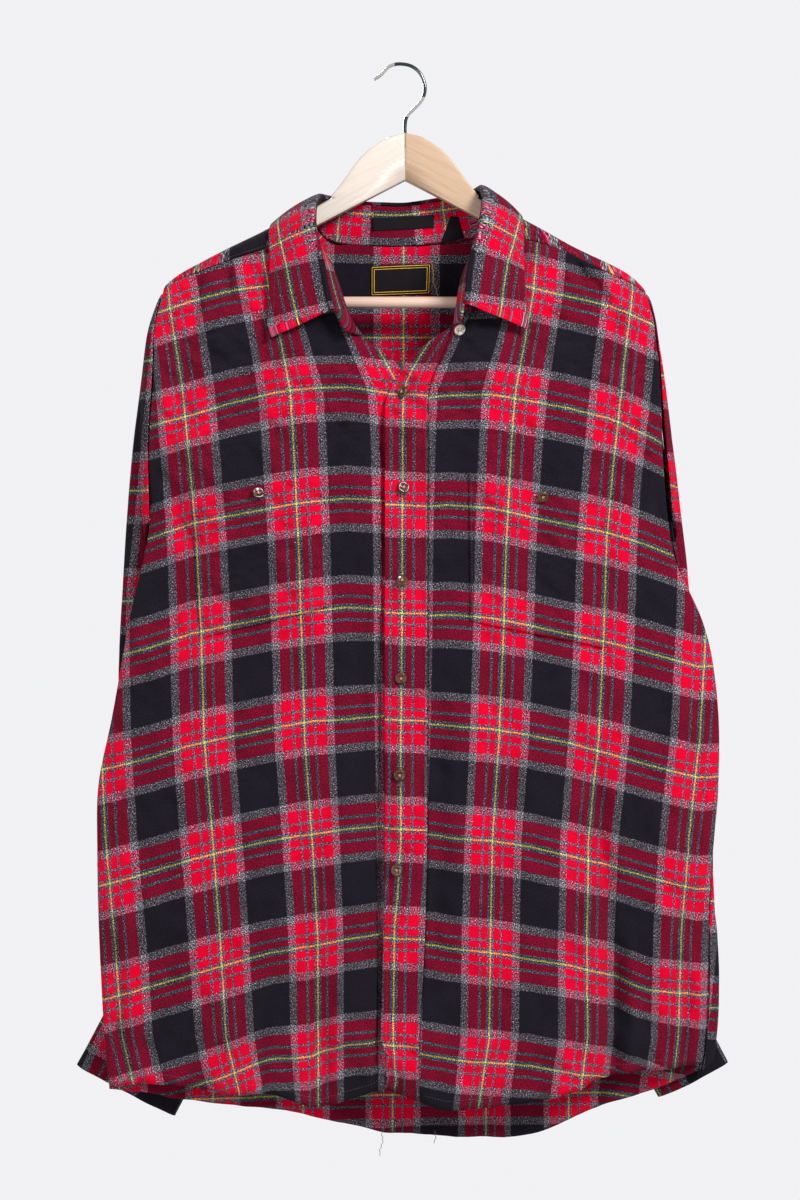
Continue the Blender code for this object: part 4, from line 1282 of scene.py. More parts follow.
@dataclass(frozen=True)
class Ground:
    """Finished surfaces that small pieces are seated on."""

    tree: BVHTree
    slips: tuple[float, ...] = (0, 2, -2, 4, -4, 7, -7)  # where a ray falls into a seam's gap
    outside: float = 300.0  # how far out a ray begins

    @classmethod
    def of(cls, objects: Iterable[bpy.types.Object]) -> "Ground":
        """The surfaces of these pieces."""
        shape = bmesh.new()
        for piece in objects:
            shape.from_mesh(piece.data)
        tree = BVHTree.FromBMesh(shape)
        shape.free()
        return cls(tree)

    def seat(self, x: float, z: float, way: int = 1) -> tuple[Vector, Vector]:
        """The first place that a level ray meets.

        Args:
            x: where the ray runs, across.
            z: and its height.
            way: 1 for a ray from the front, -1 for one from the back.

        Returns:
            The place in millimetres and the outward normal there.
        """
        for slip in self.slips:
            origin = Vector((x, -way * self.outside, z + slip)) * MM
            place, normal, _, _ = self.tree.ray_cast(origin, Vector((0, way, 0)))
            if place is not None:
                facing = -normal if normal.y * way > 0 else normal
                return Vector((x, place.y / MM, z)), facing
        raise ValueError(f"no cloth at {x:.0f}, {z:.0f}")


def frame_at(place: Vector, along: Vector, normal: Vector) -> Matrix:
    """A transform in metres with X along a run and Z along a surface's normal."""
    side = normal.cross(along).normalized()
    ahead = side.cross(normal).normalized()
    turn = Matrix((ahead, side, normal)).transposed().to_4x4()
    return Matrix.Translation(place * MM) @ turn


# ---------------------------------------------------------------- cloth
@dataclass(frozen=True)
class Cut:
    """The flat piece that was cut, in metres. Its area is its finished shell's own."""

    width: float
    length: float
    area: float


@dataclass(frozen=True)
class Seam:
    """Sewing along a rim: a stitched groove, a fold's thickness, puckers and a wavy edge."""

    inset: float = 0.0  # from the rim to the stitching
    groove: float = 0.5
    width: float = 1.8
    pucker: float = 0.4
    length: float = 15.0  # of a pucker, along the rim
    reach: float = 8.0  # how far puckers run from the stitching
    fold: float = 0.0  # how much thicker the turned-in edge is
    fold_end: float = 0.7  # how gently the turned-in edge ends
    wander: float = 0.0  # how far the rim waves up and down
    below: float = 400.0  # only the rim below this height is sewn this way
    seed: int = 5

    def shift(self, points: np.ndarray, rim: np.ndarray) -> np.ndarray:
        """How the sewing moves each point.

        Args:
            points: the cloth's points.
            rim: places along the cloth's rim.

        Returns:
            One shift in millimetres for each point.
        """
        away = distances(points, rim[rim[:, 2] < self.below], self.inset + 3 * self.reach)
        bed = np.exp(-(((away - self.inset) / self.width) ** 2))
        spread = np.exp(-(((away - self.inset) / self.reach) ** 2))
        turned = 1 / (1 + np.exp(np.clip((away - self.inset) / self.fold_end, -30, 30)))
        flat = points[:, [0, 2]]
        shift = np.zeros_like(points)
        puckers = self.pucker * spread * waves(flat, self.seed, self.length)
        shift[:, 1] = self.groove * bed + puckers - self.fold * turned
        edge = np.exp(-((away / (self.inset + self.reach)) ** 2))
        shift[:, 2] = self.wander * edge * waves(flat, self.seed + 7, 2.2 * self.length)
        return shift


JOINED = Seam()
BODY_HEM = Seam(
    inset=9, groove=0.6, pucker=0.9, length=19, reach=11, fold=0.5, wander=0.7, below=-946, seed=61
)
TOPSTITCHED = Seam(inset=5.5, groove=0.45, pucker=0.35, length=14, reach=7, wander=0.4, seed=71)
NARROW = Seam(inset=2.5, groove=0.35, width=1.2, pucker=0.35, length=12, reach=5, seed=83)
HELD = 8.0  # how far from a seam its joined edges keep the creases out
HELD_SHARE = 0.9  # how much of a crease they keep out
CENTRE = 40.0  # nearer the middle than this, an edge lies loose under the placket


@dataclass(frozen=True)
class Pull:
    """A soft local move of the cloth, as where a shoulder rounds over."""

    middle: Place
    move: Place
    reach: float = 16.0

    def shift(self, points: np.ndarray) -> np.ndarray:
        """How it moves each point, in millimetres."""
        away = np.linalg.norm(points - np.array(self.middle), axis=1)
        return np.exp(-((away / self.reach) ** 2))[:, None] * np.array(self.move)


RIGHT_EDGE = (
    Pull((-231, -30, -224), (0.4, 3.0, 1.2), 10),
    Pull((-243, -34, -254), (-2.2, 0.0, 0.0), 22),
)
LEFT_EDGE = (
    Pull((229, -30, -224), (-0.4, 3.0, 1.2), 10),
    Pull((236, -34, -268), (-2.4, 0.0, 0.0), 16),
    Pull((249, -34, -385), (-2.4, 0.0, 0.0), 44),
    Pull((258, -34, -455), (-1.6, 0.0, 0.0), 44),
)
YOKE_TIPS = (
    Pull((-230, -30, -220), (0.8, -2.0, -1.8), 10),
    Pull((228, -30, -220), (-0.8, -2.0, -1.8), 10),
    Pull((160, -20, -176), (0.0, 0.0, -2.0), 30),
    Pull((-60, 12, -172), (0.0, 0.0, 1.8), 18),
    Pull((-30, 13, -172), (0.0, 0.0, 0.6), 18),
    Pull((0, 13, -173), (0.0, 0.0, 0.8), 18),
    Pull((30, 13, -171), (0.0, 0.0, 0.6), 18),
    Pull((60, 12, -168), (0.0, 0.0, 1.1), 18),
)
RIGHT_SLEEVE = (
    Pull((-231, -28, -215), (5.0, 3.0, -4.0), 9),
    Pull((-243, -28, -254), (-2.0, 0.0, 0.0), 22),
)
LEFT_SLEEVE = (
    Pull((230, -28, -215), (-5.0, 3.0, -4.0), 9),
    Pull((238, -28, -268), (-2.4, 0.0, 0.0), 16),
    Pull((262, -20, -400), (1.6, 0.0, 0.0), 46),
    Pull((272, -20, -480), (2.4, 0.0, 0.0), 50),
)
BACK_EDGE = (
    Pull((250, -5, -390), (2.6, -1.0, 0.0), 40),
    Pull((256, -5, -450), (2.6, -1.0, 0.0), 40),
)
PLACKET_BUCKLE = (
    Pull((-22, -56, -943), (6.0, -2.0, 0.0), 9),
    Pull((-21, -54, -965), (6.0, 0.0, 1.5), 12),
)


@dataclass(frozen=True)
class Cloth:
    """A sewn piece of flannel: its solid's form, smoothed, creased and patterned."""

    node: str
    grain: Any
    creases: Creases
    cut: Cut
    seams: tuple[Seam, ...]
    pulls: tuple[Pull, ...] = ()
    smoothing: Smoothing = Smoothing()

    def build(self, frame: dict[str, Any], material: bpy.types.Material) -> bpy.types.Object:
        """Makes the piece over its solid.

        Args:
            frame: the loaded frame.
            material: the cloth's finish.

        Returns:
            The piece, in place of its solid.
        """
        mesh, rim = self.smoothing.apply(frame["nodes"][self.node].data)
        points = as_points(mesh)
        set_map(mesh, "plaid", self.grain.coordinates(points))
        shift = np.zeros_like(points)
        shift[:, 1] = self.creases.relief(points[:, 0], points[:, 2])
        if JOINED in self.seams:
            joined = rim[(rim[:, 2] > BODY_HEM.below) & (np.abs(rim[:, 0]) > CENTRE)]
            held = distances(points, joined, 4 * HELD)
            shift[:, 1] *= 1 - HELD_SHARE * np.exp(-((held / HELD) ** 2))
        for seam in self.seams:
            shift += seam.shift(points, rim)
        for pull in self.pulls:
            shift += pull.shift(points)
        set_points(mesh, points + shift)
        piece = add_piece(self.node + "_cloth", mesh, material)
        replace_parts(piece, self.node)
        return piece


# ---------------------------------------------------------------- sewing and trims
@dataclass
class Sewing:
    """Rows of stitches, buttonholes and loose ends, laid on the finished cloth."""

    ground: Ground
    pitch: float = 3.0
    size: Place = (2.2, 0.5, 0.4)  # a stitch's length, width and height
    hole_pitch: float = 0.62
    hole_side: float = 0.85  # from a slit's middle to its stitches
    hole_size: Place = (1.5, 0.6, 0.7)
    bar_size: Place = (3.2, 0.9, 0.9)
    end_pitch: float = 1.1
    end_length: float = 1.9
    shape: bmesh.types.BMesh = field(default_factory=bmesh.new)

    def stitch(self, place: Vector, along: Vector, normal: Vector, size: Sequence[float]) -> None:
        """One stitch: a bead of thread, half sunk in the cloth.

        Args:
            place: its middle.
            along: the way it runs.
            normal: the cloth's outward normal.
            size: its length, width and height.
        """
        scale = Matrix.Diagonal((*(part / 2 * MM for part in size), 1))
        matrix = frame_at(place, along, normal) @ scale
        bmesh.ops.create_icosphere(self.shape, subdivisions=1, radius=1.0, matrix=matrix)

    def row(self, places: Sequence[tuple[float, float]], way: int = 1) -> None:
        """A row of stitches along a route.

        Args:
            places: x and z along it.
            way: 1 where it is sewn from the front, -1 from the back.
        """
        spread = spread_along(places, self.pitch, self.pitch / 2)
        for (x, z), (across, up) in zip(spread, np.gradient(spread, axis=0)):
            place, normal = self.ground.seat(x, z, way)
            self.stitch(place, Vector((across, 0, up)), normal, self.size)

    def buttonhole(self, x: float, z: float, above: float = 4.0, below: float = 10.5) -> None:
        """A worked slit behind a button, upright.

        Args:
            x: the button's place across.
            z: and its height.
            above: how far the slit runs above the button's middle.
            below: how far it runs below it.
        """
        heights = np.arange(z - below, z + above, self.hole_pitch)
        sides = (-self.hole_side, self.hole_side)
        worked = [(x + side, height, self.hole_size) for height in heights for side in sides]
        bars = [(x, end, self.bar_size) for end in (z - below, z + above)]
        for across, height, size in worked + bars:
            place, normal = self.ground.seat(across, height)
            self.stitch(place, Vector((1, 0, 0)), normal, size)

    def end(self, places: Iterable[Place], width: float = 0.55) -> None:
        """A loose end of yarn: one bead of thread after another along a route.

        Args:
            places: its places in millimetres.
            width: how thick it is.
        """
        points = spread_along(places, self.end_pitch)
        points[:, 0] += 0.35 * np.sin(np.arange(len(points)) * self.end_pitch * 1.3)
        for point, ahead in zip(points, np.gradient(points, axis=0)):
            along = Vector(ahead).normalized()
            self.stitch(Vector(point), along, along.orthogonal(), (self.end_length, width, width))

    def finish(self, name: str, material: bpy.types.Material) -> bpy.types.Object:
        """Ends the sewing so far as one piece."""
        return add_piece(name, from_bmesh(name, self.shape), material)


@dataclass(frozen=True)
class Button:
    """A four-hole button: a dished disc with a raised rim."""

    radius: float = 5.7
    thickness: float = 2.0
    cells: int = 9
    gap: float = 0.35
    probe: float = 4.0  # how far from its middle the cloth is felt
    rim: tuple[float, float] = (0.7, 0.95)  # where the raised rim is, in radii
    rim_height: float = 0.5
    top_bevel: float = 0.2
    low_bevel: float = 0.5
    spin: float = 0.35  # the most that one is turned about its middle, in radians
    levels: int = 2

    def blank(self) -> bpy.types.Mesh:
        """One button at the origin, facing +Z."""
        shape = bmesh.new()
        bmesh.ops.create_grid(shape, x_segments=self.cells, y_segments=self.cells, size=1.0)
        holes = [face for face in shape.faces if self._is_hole(face.calc_center_median())]
        bmesh.ops.delete(shape, geom=holes, context="FACES_ONLY")
        for vertex in shape.verts:
            x, y, _ = vertex.co
            vertex.co.x = x * math.sqrt(1 - y * y / 2)
            vertex.co.y = y * math.sqrt(1 - x * x / 2)
        bmesh.ops.solidify(shape, geom=shape.faces[:], thickness=self.thickness / self.radius)
        bmesh.ops.recalc_face_normals(shape, faces=shape.faces)
        middle = sum(vertex.co.z for vertex in shape.verts) / len(shape.verts)
        for vertex in shape.verts:
            height = self._height(math.hypot(vertex.co.x, vertex.co.y), vertex.co.z > middle)
            vertex.co *= self.radius
            vertex.co.z = height
        bmesh.ops.scale(shape, vec=(MM, MM, MM), verts=shape.verts)
        return subdivided(from_bmesh("button", shape), self.levels)

    def _is_hole(self, middle: Vector) -> bool:
        """Whether a cell of the unit grid is one of the four holes."""
        place = 2.0 / self.cells
        return abs(abs(middle.x) - place) < 0.01 and abs(abs(middle.y) - place) < 0.01

    def _height(self, share: float, upper: bool) -> float:
        """How high a point of the disc is, by its share of the radius."""
        inner, outer = self.rim
        if not upper:
            return self.low_bevel if share > outer else 0.0
        raised = self.rim_height if inner < share < outer else 0.0
        return self.thickness + raised - (self.top_bevel if share > outer else 0.0)

    def place(
        self, node: str, ground: Ground, way: int, blank: bpy.types.Mesh, finish: bpy.types.Material
    ) -> Matrix:
        """Puts a copy of the button where its solid is, flat on the cloth.

        Args:
            node: the solid's name.
            ground: the cloth.
            way: 1 where it faces the front, -1 where it faces the back.
            blank: the button at the origin.
            finish: its material.

        Returns:
            The transform of its upper face's middle, in metres.
        """
        low, high = (Vector(corner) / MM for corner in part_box(node))
        middle = (low + high) / 2
        slips = ((0, 0), (self.probe, 0), (-self.probe, 0), (0, self.probe), (0, -self.probe))
        hits = [ground.seat(middle.x + dx, middle.z + dz, way) for dx, dz in slips]
        level = sum((hit[1] for hit in hits), Vector()).normalized()
        normal = (level + Vector(LEANS.get(node, (0, 0, 0)))).normalized()
        lift = max((hit[0] - hits[0][0]).dot(normal) for hit in hits) + self.gap
        seat = frame_at(hits[0][0] + normal * lift, Vector((1, 0, 0)), normal)
        spin = Matrix.Rotation(self.spin * math.sin(middle.x + middle.z), 4, "Z")
        mesh = blank.copy()
        mesh.transform(seat @ spin)
        piece = add_piece(node + "_disc", mesh, finish)
        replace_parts(piece, node)
        return seat @ spin @ Matrix.Translation((0, 0, self.thickness * MM))


@dataclass(frozen=True)
class Label:
    """A woven label, sewn flat inside the neck. Its face is left bare."""

    node: str
    corners: tuple[tuple[float, float], ...]  # top left, top right, bottom right, bottom left
    borders: tuple[float, ...] = ()
    wall: float = 0.6
    lift: float = 0.45
    curl: float = 0.35
    curl_length: float = 24.0
    steps: tuple[int, int] = (24, 12)

    def build(self, ground: Ground) -> bpy.types.Object:
        """Makes the label on the cloth behind it."""
        shape = bmesh.new()
        columns, rows = self.steps
        bmesh.ops.create_grid(shape, x_segments=columns, y_segments=rows, size=0.5)
        shares = np.array([vertex.co[:2] for vertex in shape.verts]) + 0.5
        top_left, top_right, low_right, low_left = (np.array(corner) for corner in self.corners)
        across, up = shares[:, :1], shares[:, 1:]
        upper = top_left + across * (top_right - top_left)
        lower = low_left + across * (low_right - low_left)
        places = lower + up * (upper - lower)
        wave = self.curl * waves(places, len(self.node), self.curl_length)
        for vertex, (x, z), rise in zip(shape.verts, places, wave):
            seat, _ = ground.seat(x, z)
            vertex.co = Vector((x, seat.y - self.lift - abs(rise), z)) * MM
        bmesh.ops.recalc_face_normals(shape, faces=shape.faces)
        mesh = from_bmesh(self.node, shape)
        set_map(mesh, "face", shares)
        solid = modified(mesh, "SOLIDIFY", thickness=self.wall * MM, offset=0.0)
        sides = (top_right - top_left, top_left - low_left)
        size = tuple(float(np.linalg.norm(side)) for side in sides)
        weave = LabelWeave(self.node, self.borders, size).build()
        piece = add_piece(self.node + "_ribbon", solid, weave)
        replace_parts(piece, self.node)
        return piece


@dataclass(frozen=True)
class Hanger:
    """The wooden hanger: two shaped arms glued at the middle, a round bar and a wire hook."""

    slope: float = math.atan(0.545)  # fall of the arms

    def build(self, frame: dict[str, Any]) -> None:
        """Makes smooth copies of the hanger's solids, with their finishes."""
        arm, dowel = (5, 160, 420), (6, 260, 260)
        # The two arms are lit and shaded copies of one wood: the right arm's is painted paler, as
        # lit, the left arm's darker and warmer, as in shade.
        lit_arm_wood = Wood("wood_pale", linear(141, 130, 120), linear(150, 140, 131), arm, tilt=self.slope)
        shaded_arm_wood = Wood("wood_warm", linear(134, 110, 87), linear(148, 124, 102), arm, tilt=-self.slope)
        bar = Wood("wood_bar", linear(152, 124, 109), linear(162, 137, 124), dowel)
        edged = Smoothing(levels=2, rim_angle=58, join_angle=12)
        parts = (
            (HANGER_ARMS[0], lit_arm_wood, Finish.WOOD, edged),
            (HANGER_ARMS[1], shaded_arm_wood, Finish.WOOD, edged),
            ("hanger_bar", bar, Finish.BAR, Smoothing(levels=2, join_angle=12)),
            ("hanger_hook", Steel(), Finish.STEEL, Smoothing(levels=2, join_angle=30)),
        )
        for node, finish, slot, smoothing in parts:
            mesh, _ = smoothing.apply(frame["nodes"][node].data)
            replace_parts(add_piece(node + "_smooth", mesh, finish.build()), node)


# ---------------------------------------------------------------- studio
@dataclass(frozen=True)
class Studio:
    """The camera, the pale surroundings and soft light from the upper right."""

    view_height: float = PIXEL * PICTURE[1]  # what the picture takes in, top to bottom
    sensor: float = 36.0
    world_colour: Colour = linear(241, 241, 244)
    world_strength: float = 1.0
    floor_z: float = -1600.0
    floor_side: float = 3600.0
    lights: tuple[tuple[str, Place, Place, float, float], ...] = (
        ("key", (1700, -2600, 1250), (-60, -30, -640), 1000, 256.0),
        ("fill", (-1750, -1850, -1000), (-120, -30, -820), 1400, 38.0),
        ("back", (-1200, 2700, 900), (0, 0, -560), 1400, 150.0),
    )  # name, place, target, side and watts

    def build(self) -> None:
        """Makes the camera, the world, the lights and the floor."""
        scene = bpy.context.scene
        camera = bpy.data.objects.new("camera", bpy.data.cameras.new("camera"))
        camera.data.sensor_fit = "VERTICAL"
        camera.data.sensor_height = self.sensor
        camera.data.lens = self.sensor * VIEW_DISTANCE / self.view_height
        camera.location = Vector(CAMERA) * MM
        camera.rotation_euler = (math.pi / 2, 0.0, 0.0)
        scene.collection.objects.link(camera)
        scene.camera = camera
        scene.view_settings.view_transform = "Standard"
        world = bpy.data.worlds.new("studio")
        world.use_nodes = True
        background = world.node_tree.nodes["Background"]
        background.inputs["Color"].default_value = self.world_colour
        background.inputs["Strength"].default_value = self.world_strength
        scene.world = world
        for light in self.lights:
            self._light(*light)
        self._floor()

    def _light(self, name: str, place: Place, target: Place, side: float, power: float) -> None:
        """A square soft light.

        Args:
            name: the light's name.
            place: where it stands.
            target: what it faces.
            side: its side.
            power: its power in watts.
        """
        lamp = bpy.data.lights.new(name, "AREA")
        lamp.size = side * MM
        lamp.energy = power
        holder = bpy.data.objects.new(name, lamp)
        holder.location = Vector(place) * MM
        facing = Vector(target) - Vector(place)
        holder.rotation_euler = facing.to_track_quat("-Z", "Y").to_euler()
        bpy.context.scene.collection.objects.link(holder)

    def _floor(self) -> None:
        """A plain pale floor well below the hem."""
        shape = bmesh.new()
        place = Matrix.Translation(Vector((0, 0, self.floor_z)) * MM)
        bmesh.ops.create_grid(
            shape, x_segments=2, y_segments=2, size=self.floor_side / 2 * MM, matrix=place
        )
        mesh = from_bmesh("floor", shape)
        mesh.materials.append(Paint("floor paint", 0.29).build())
        add_object("floor", mesh)


# ---------------------------------------------------------------- collar, yoke and sleeves
COLLAR_ROLL = Course(
    route(
        (-66, -72, -241),
        (-72, -72, -217),
        (-77, -70, -191),
        (-84, -62, -163),
        (-86, -44, -145),
        (-81, -13, -131.5),
        (-68, 3, -130.5),
        (-38, 13, -132),
        (-5, 16, -133),
        (30, 13, -129),
        (60, 4.5, -125.5),
        (72, -12, -123.2),
        (75, -42, -138.5),
        (71, -63, -158),
        (62, -72, -188),
        (57, -76, -217),
        (55, -77, -236),
    )
)
YOKE_CREST = table(
    "x z",
    (-232, -218),
    (-197, -194.5),
    (-167, -178.3),
    (-129, -159),
    (-84, -134.5),
    (84, -134.2),
    (113, -150.4),
    (147, -168.6),
    (183, -188),
    (230, -219.5),
)
YOKE_UPRIGHTS = table(
    "x index", (-295.6, -3), (-195.6, -2), (-97, -1), (-1.5, 0), (115, 1), (215, 2), (315, 3)
)
YOKE_TURN = table(
    "x index",
    (-232, 0.68),
    (-198, 1.0),
    (-168, 1.3),
    (-130, 1.67),
    (-84, 1.9),
    (84, 1.5),
    (130, 1.29),
    (146, 1.21),
    (221, 0.87),
    (235, 0.8),
)
RIGHT_OUTER_FOLD = route(
    (-243, -262), (-271, -505), (-276, -672), (-278, -815), (-287, -902), (-315, -961)
)
LEFT_OUTER_FOLD = route(
    (241.5, -280), (269.5, -490), (277, -665), (279, -812), (282, -898), (310, -958)
)
RIGHT_SLEEVE_LINES = table(
    "along index", (-60, -0.8), (0, -0.2), (148, 1), (254, 2), (360, 3), (760, 7)
)
LEFT_SLEEVE_LINES = table(
    "along index", (-60, -0.82), (0, -0.2), (126, 1), (238, 2), (344, 3), (744, 7)
)
SLEEVE_MIDDLE = table("depth y", (262, -18), (590, 14), (900, 10))


@dataclass(frozen=True)
class YokeGrain:
    """The plaid over the shoulders: up the back, over the crest and down to the front."""

    crest: Rows
    uprights: Rows
    turn: Rows  # the crossing yarns' index where the cloth turns to the front
    back_line: float = -260.0
    wood_forward: float = 0.13
    pitch: float = 102.0
    front_share: float = 0.3
    blend: float = 80.0
    neck: float = 75.0  # nearer the middle than this, nothing turns to the front
    neck_blend: float = 30.0

    def coordinates(self, points: np.ndarray) -> np.ndarray:
        """The pattern's two indices at each place."""
        x, y, z = points.T
        crest = np.interp(x, *self.crest.values())
        turned = np.interp(x, *self.turn.values())
        in_front = (y < -self.wood_forward * np.abs(x)) & (np.abs(x) > self.neck)
        drop = np.maximum(crest - z, 0)
        back = (z - self.back_line) / self.pitch
        at_crest = (crest - self.back_line) / self.pitch
        outer = smooth((np.abs(x) - self.neck) / self.neck_blend)
        drawn = outer * (turned - at_crest) * np.exp(-drop / self.blend)
        front = turned + self.front_share * drop / self.pitch
        down = np.where(in_front, front, back + drawn)
        return np.stack([np.interp(x, *self.uprights.values()), down], axis=1)


@dataclass(frozen=True)
class SleeveGrain:
    """The plaid on a sleeve: across from its outer fold, and down its length."""

    outer: np.ndarray  # x and z down the fold
    lines: Rows
    start: float

    def coordinates(self, points: np.ndarray) -> np.ndarray:
        """The pattern's two indices at each place."""
        x, y, z = points.T
        folds, heights = self.outer.T
        along = np.interp(-z, -heights, passed(self.outer)) - np.maximum(z - heights[0], 0)
        away = np.abs(x - np.interp(-z, -heights, folds))
        front = y < np.interp(-z, *SLEEVE_MIDDLE.values())
        across = np.where(front, -away, away) + self.start
        return np.stack([across / REPEAT, np.interp(along, *self.lines.values())], axis=1)


@dataclass(frozen=True)
class CuffGrain:
    """The plaid on a flat cuff: square to the way that it hangs."""

    corner: tuple[float, float]  # x and z of its outer corner at the hem
    down: tuple[float, float]  # the way down the arm
    at_corner: tuple[float, float]  # the pattern's two indices at that corner

    def coordinates(self, points: np.ndarray) -> np.ndarray:
        """The pattern's two indices at each place."""
        down = np.array(self.down) / np.hypot(*self.down)
        inner = np.array((down[1], -down[0]))
        flat = points[:, [0, 2]] - np.array(self.corner)
        return np.stack([flat @ inner, flat @ down], axis=1) / REPEAT + np.array(self.at_corner)


# ---------------------------------------------------------------- places of trims
BUTTONS = (
    *(f"button_front_{number}" for number in range(1, 7)),
    "button_collar",
    "button_pocket_right",
    "button_pocket_left",
    "button_cuff_right",
    "button_cuff_left",
)
TIE_TURNS = (0.785, 2.356)  # the thread crosses a button's face along these, in radians
TIE_SIDE = 0.24
TIE_LIFT = 0.12
TIE_SIZE = (4.2, 0.5, 0.75)
# How far a button's face leans out of the cloth's plane, as its thread lets it hang.
LEANS = {
    "button_front_1": (-0.42, 0, 0.05),
    "button_front_2": (0.24, 0, 0.4),
    "button_front_3": (0.34, 0, 0.29),
    "button_front_4": (0.05, 0, -0.12),
    "button_front_5": (0.12, 0, -0.08),
    "button_front_6": (-0.3, 0, -0.1),
    "button_pocket_right": (0.3, 0, 0.28),
    "button_pocket_left": (0.05, 0, -0.32),
    "button_collar": (-0.5, 0, 0.2),
}
LABELS = (
    Label("label_strip", ((-32, -144.5), (28, -141.5), (28, -154), (-32, -157))),
    Label("label_patch", ((-33, -191), (25, -188.5), (24, -218), (-33, -220)), (1.2, 3.4)),
    Label("label_care", ((44, -143), (51, -144), (57, -164), (34, -170)), steps=(12, 12)),
)
RIGHT_HEM = (
    *((-283, -966), (-229, -963), (-159, -971), (-128, -970), (-95, -981)),
    *((-79, -985), (-61, -978), (-35, -971), (-26, -967)),
)
BACK_HEM = (
    *((-240, -976), (-197, -985), (-103, -997), (-54, -1008), (-9, -1016)),
    *((62, -1020.5), (119, -1020), (150, -1005.5), (186, -989.5), (235, -974)),
)
# Rows of stitches: 1 where they show from the front or -1 from the back, and the route.
STITCH_ROWS = (
    (1, ((-18, -312), (-14.5, -333), (-14.5, -700), (-16.5, -850), (-18.5, -968))),
    (1, ((19.5, -333), (18.5, -700), (15.5, -850), (10.5, -936), (10.5, -974))),
    (1, ((34, -272), (25.5, -295), (20.5, -311), (19.5, -333))),
    (1, ((-200, -415), (-190.5, -547), (-74, -518.5), (-74, -391))),
    (1, ((191, -417), (184.8, -556), (63, -531), (62, -396))),
    (1, ((-200, -434), (-75, -411))),
    (1, ((191, -437), (64, -417))),
    (1, ((-68, -238), (-124, -262), (-122.5, -217), (-122.5, -190), (-123, -170))),
    (1, ((58, -233), (109.5, -252), (107.5, -238), (106, -212), (105.5, -184), (105, -163))),
    (1, RIGHT_HEM),
    (1, ((18, -979), (39, -985), (80, -982), (132, -976), (168, -964), (192, -954), (250, -948))),
    (1, ((-225, -211), (-197, -200), (-167, -189), (-133, -178.5))),
    (1, ((117, -170), (147, -178), (183, -196), (222, -213))),
    (-1, ((-236, -304), (0, -304), (236, -304))),
    (-1, BACK_HEM),
)
# Loose ends of yarn that hang from the hem, and gold ones inside the neck.
HEM_ENDS = (
    (
        *((-20, -40, -1006), (-20.5, -41, -1012), (-22, -41, -1018)),
        *((-21, -42, -1025), (-24, -42, -1034), (-23.5, -42, -1039)),
    ),
    ((28, -40, -1016), (29, -41, -1022), (27, -41, -1027)),
)
GOLD_LIFT = 0.5
GOLD_WIDTH = 0.4
NECK_ENDS = (
    ((26, -189), (27.5, -198), (27, -206), (30, -213), (31, -219)),
    ((-31, -143), (-33, -141), (-31, -139.5), (-34, -138.5)),
)


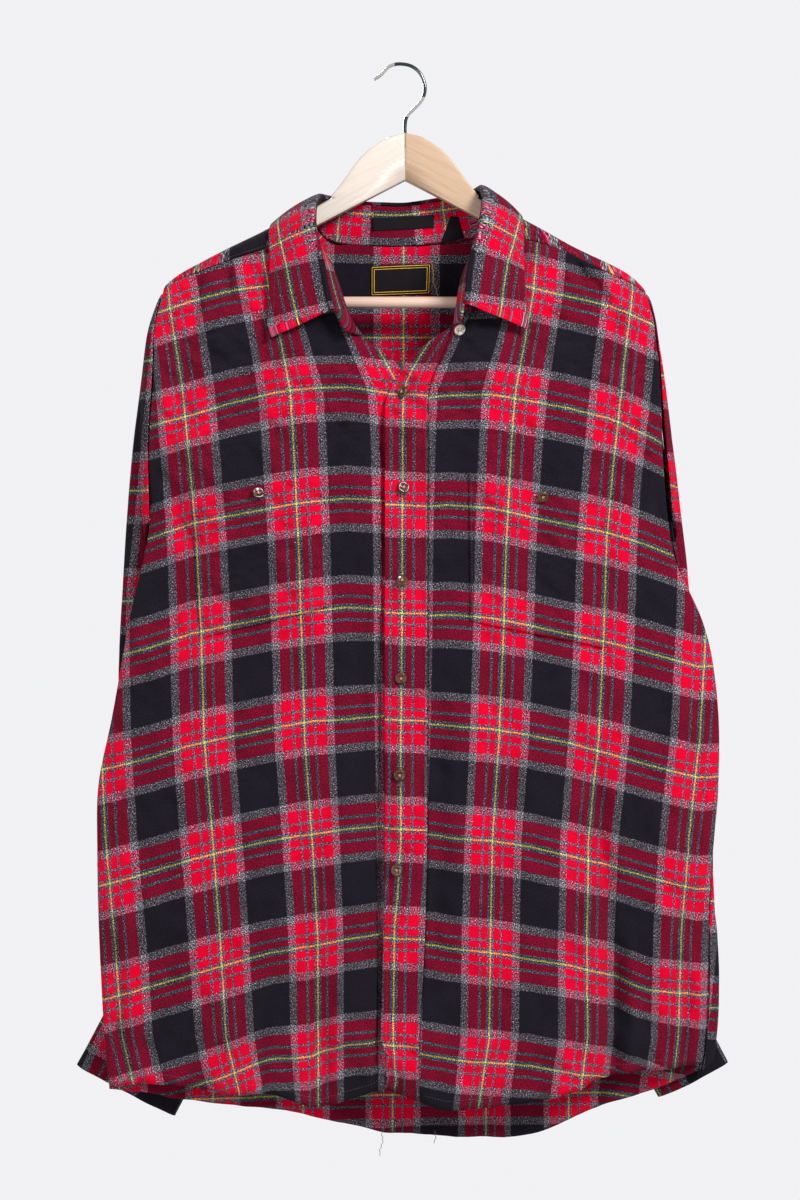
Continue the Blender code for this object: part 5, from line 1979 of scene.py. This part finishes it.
# ---------------------------------------------------------------- assembly
@dataclass
class Shirt:
    """The sewn shirt: each panel over its own solid."""

    frame: dict[str, Any]
    pieces: dict[str, bpy.types.Object] = field(default_factory=dict)

    def build(self) -> None:
        """Makes every panel."""
        flannel = Flannel().build()
        for panel in self.panels():
            self.pieces[panel.node] = panel.build(self.frame, flannel)
        self.trim()

    def panels(self) -> list[Cloth]:
        """Each panel with its pattern, creases and flat cut."""
        right, left = RIGHT_FRONT_GRAIN, LEFT_FRONT_GRAIN
        yoke = YokeGrain(YOKE_CREST, YOKE_UPRIGHTS, YOKE_TURN)
        right_sleeve = SleeveGrain(RIGHT_OUTER_FOLD, RIGHT_SLEEVE_LINES, 34.0)
        left_sleeve = SleeveGrain(LEFT_OUTER_FOLD, LEFT_SLEEVE_LINES, 20.0)
        leaf, stand = StripGrain(COLLAR_ROLL, 78.0, 36.0), StripGrain(COLLAR_ROLL, 68.0, 8.5)
        right_cuff = CuffGrain((-315, -961), (-28, -59), (0.34, 6.475))
        left_cuff = CuffGrain((310, -958), (30, -58), (0.28, 0.66))
        fronts, sleeves = FRONT_CREASES, SLEEVE_CREASES
        right_front = fronts.with_more(PLACKET_SHADOW)
        strip = fronts.with_more(PLACKET_CREASES)
        body, plain, folded, narrow = (JOINED, BODY_HEM), (JOINED,), (TOPSTITCHED,), (NARROW,)
        return [
            Cloth("front_right", right, right_front, Cut(0.33, 0.83, 0.2364), body, RIGHT_EDGE),
            Cloth("front_left", left, fronts, Cut(0.31, 0.83, 0.2147), body, LEFT_EDGE),
            Cloth("placket", PLACKET_GRAIN, strip, Cut(0.044, 0.75, 0.0308), folded, PLACKET_BUCKLE),
            Cloth("back", BACK_GRAIN, BACK_CREASES, Cut(0.62, 0.72, 0.3979), body, BACK_EDGE),
            Cloth("yoke", yoke, YOKE_CREASES, Cut(0.49, 0.24, 0.0756), plain, YOKE_TIPS),
            Cloth("collar_stand", stand, STILL, Cut(0.46, 0.04, 0.01486), narrow),
            Cloth("collar_leaf", leaf, STILL, Cut(0.48, 0.08, 0.03197), folded),
            Cloth("sleeve_right", right_sleeve, sleeves, Cut(0.4, 0.58, 0.1341), plain, RIGHT_SLEEVE),
            Cloth("sleeve_left", left_sleeve, sleeves, Cut(0.4, 0.58, 0.1238), plain, LEFT_SLEEVE),
            Cloth("cuff_right", right_cuff, STILL, Cut(0.23, 0.066, 0.01441), folded),
            Cloth("cuff_left", left_cuff, STILL, Cut(0.2, 0.066, 0.01128), folded),
            Cloth("pocket_right", right, fronts, Cut(0.14, 0.16, 0.01874), narrow),
            Cloth("pocket_left", left, fronts, Cut(0.15, 0.17, 0.02025), narrow),
        ]

    def trim(self) -> None:
        """Adds buttons, buttonholes, stitches and labels on the finished cloth."""
        ground = Ground.of(self.pieces.values())
        self._fasten(ground)
        self._sew(ground)
        inside = Ground.of(self.pieces[node] for node in ("yoke", "back", "collar_stand"))
        for label in LABELS:
            label.build(inside)

    def _fasten(self, ground: Ground) -> None:
        """Adds the buttons with their thread, and the front's buttonholes."""
        button = Button()
        blank = button.blank()
        horn = Horn().build()
        # A paler, greyer copy of the horn for the collar button: it paints the light reflected from
        # the button's face.
        painted_reflection_horn = Horn("horn_pale", linear(76, 68, 56), linear(158, 154, 148)).build()
        ties = Sewing(ground)
        holes = Sewing(ground)
        for node in BUTTONS:
            way = -1 if "cuff" in node else 1
            finish = painted_reflection_horn if node == "button_collar" else horn
            top = button.place(node, ground, way, blank, finish)
            middle = top.translation / MM
            normal = top.to_3x3() @ Vector((0, 0, 1))
            for turn in TIE_TURNS:
                along = top.to_3x3() @ Vector((math.cos(turn), math.sin(turn), 0))
                for side in (-TIE_SIDE, TIE_SIDE):
                    off = normal.cross(along) * side + normal * TIE_LIFT
                    ties.stitch(middle + off, along, normal, TIE_SIZE)
            if "front" in node:
                holes.buttonhole(middle.x, middle.z)
        ties.finish("button_ties", Thread("tie_thread", linear(150, 104, 74)).build())
        holes.finish("buttonholes", Thread("buttonhole_thread", linear(44, 34, 38)).build())
        LOG.info("buttons: %d", len(BUTTONS))

    def _sew(self, ground: Ground) -> None:
        """Adds the rows of stitches that hold hems, pockets, placket, collar and yoke."""
        sewing = Sewing(ground)
        for way, places in STITCH_ROWS:
            sewing.row(places, way)
        for places in HEM_ENDS:
            sewing.end(places)
        gold = Sewing(ground)
        for places in NECK_ENDS:
            gold.end([(x, ground.seat(x, z)[0].y - GOLD_LIFT, z) for x, z in places], GOLD_WIDTH)
        gold.finish("label_threads", Thread("gold_thread", linear(178, 140, 52)).build())
        sewing.finish("stitching", Thread("sewing_thread", linear(28, 18, 24)).build())


def main() -> None:
    """Builds the looks around the frame and reports each piece."""
    logging.basicConfig(level=logging.INFO, format="%(message)s")
    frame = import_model()
    Studio().build()
    Shirt(frame).build()
    Hanger().build(frame)


if __name__ == "__main__":
    main()
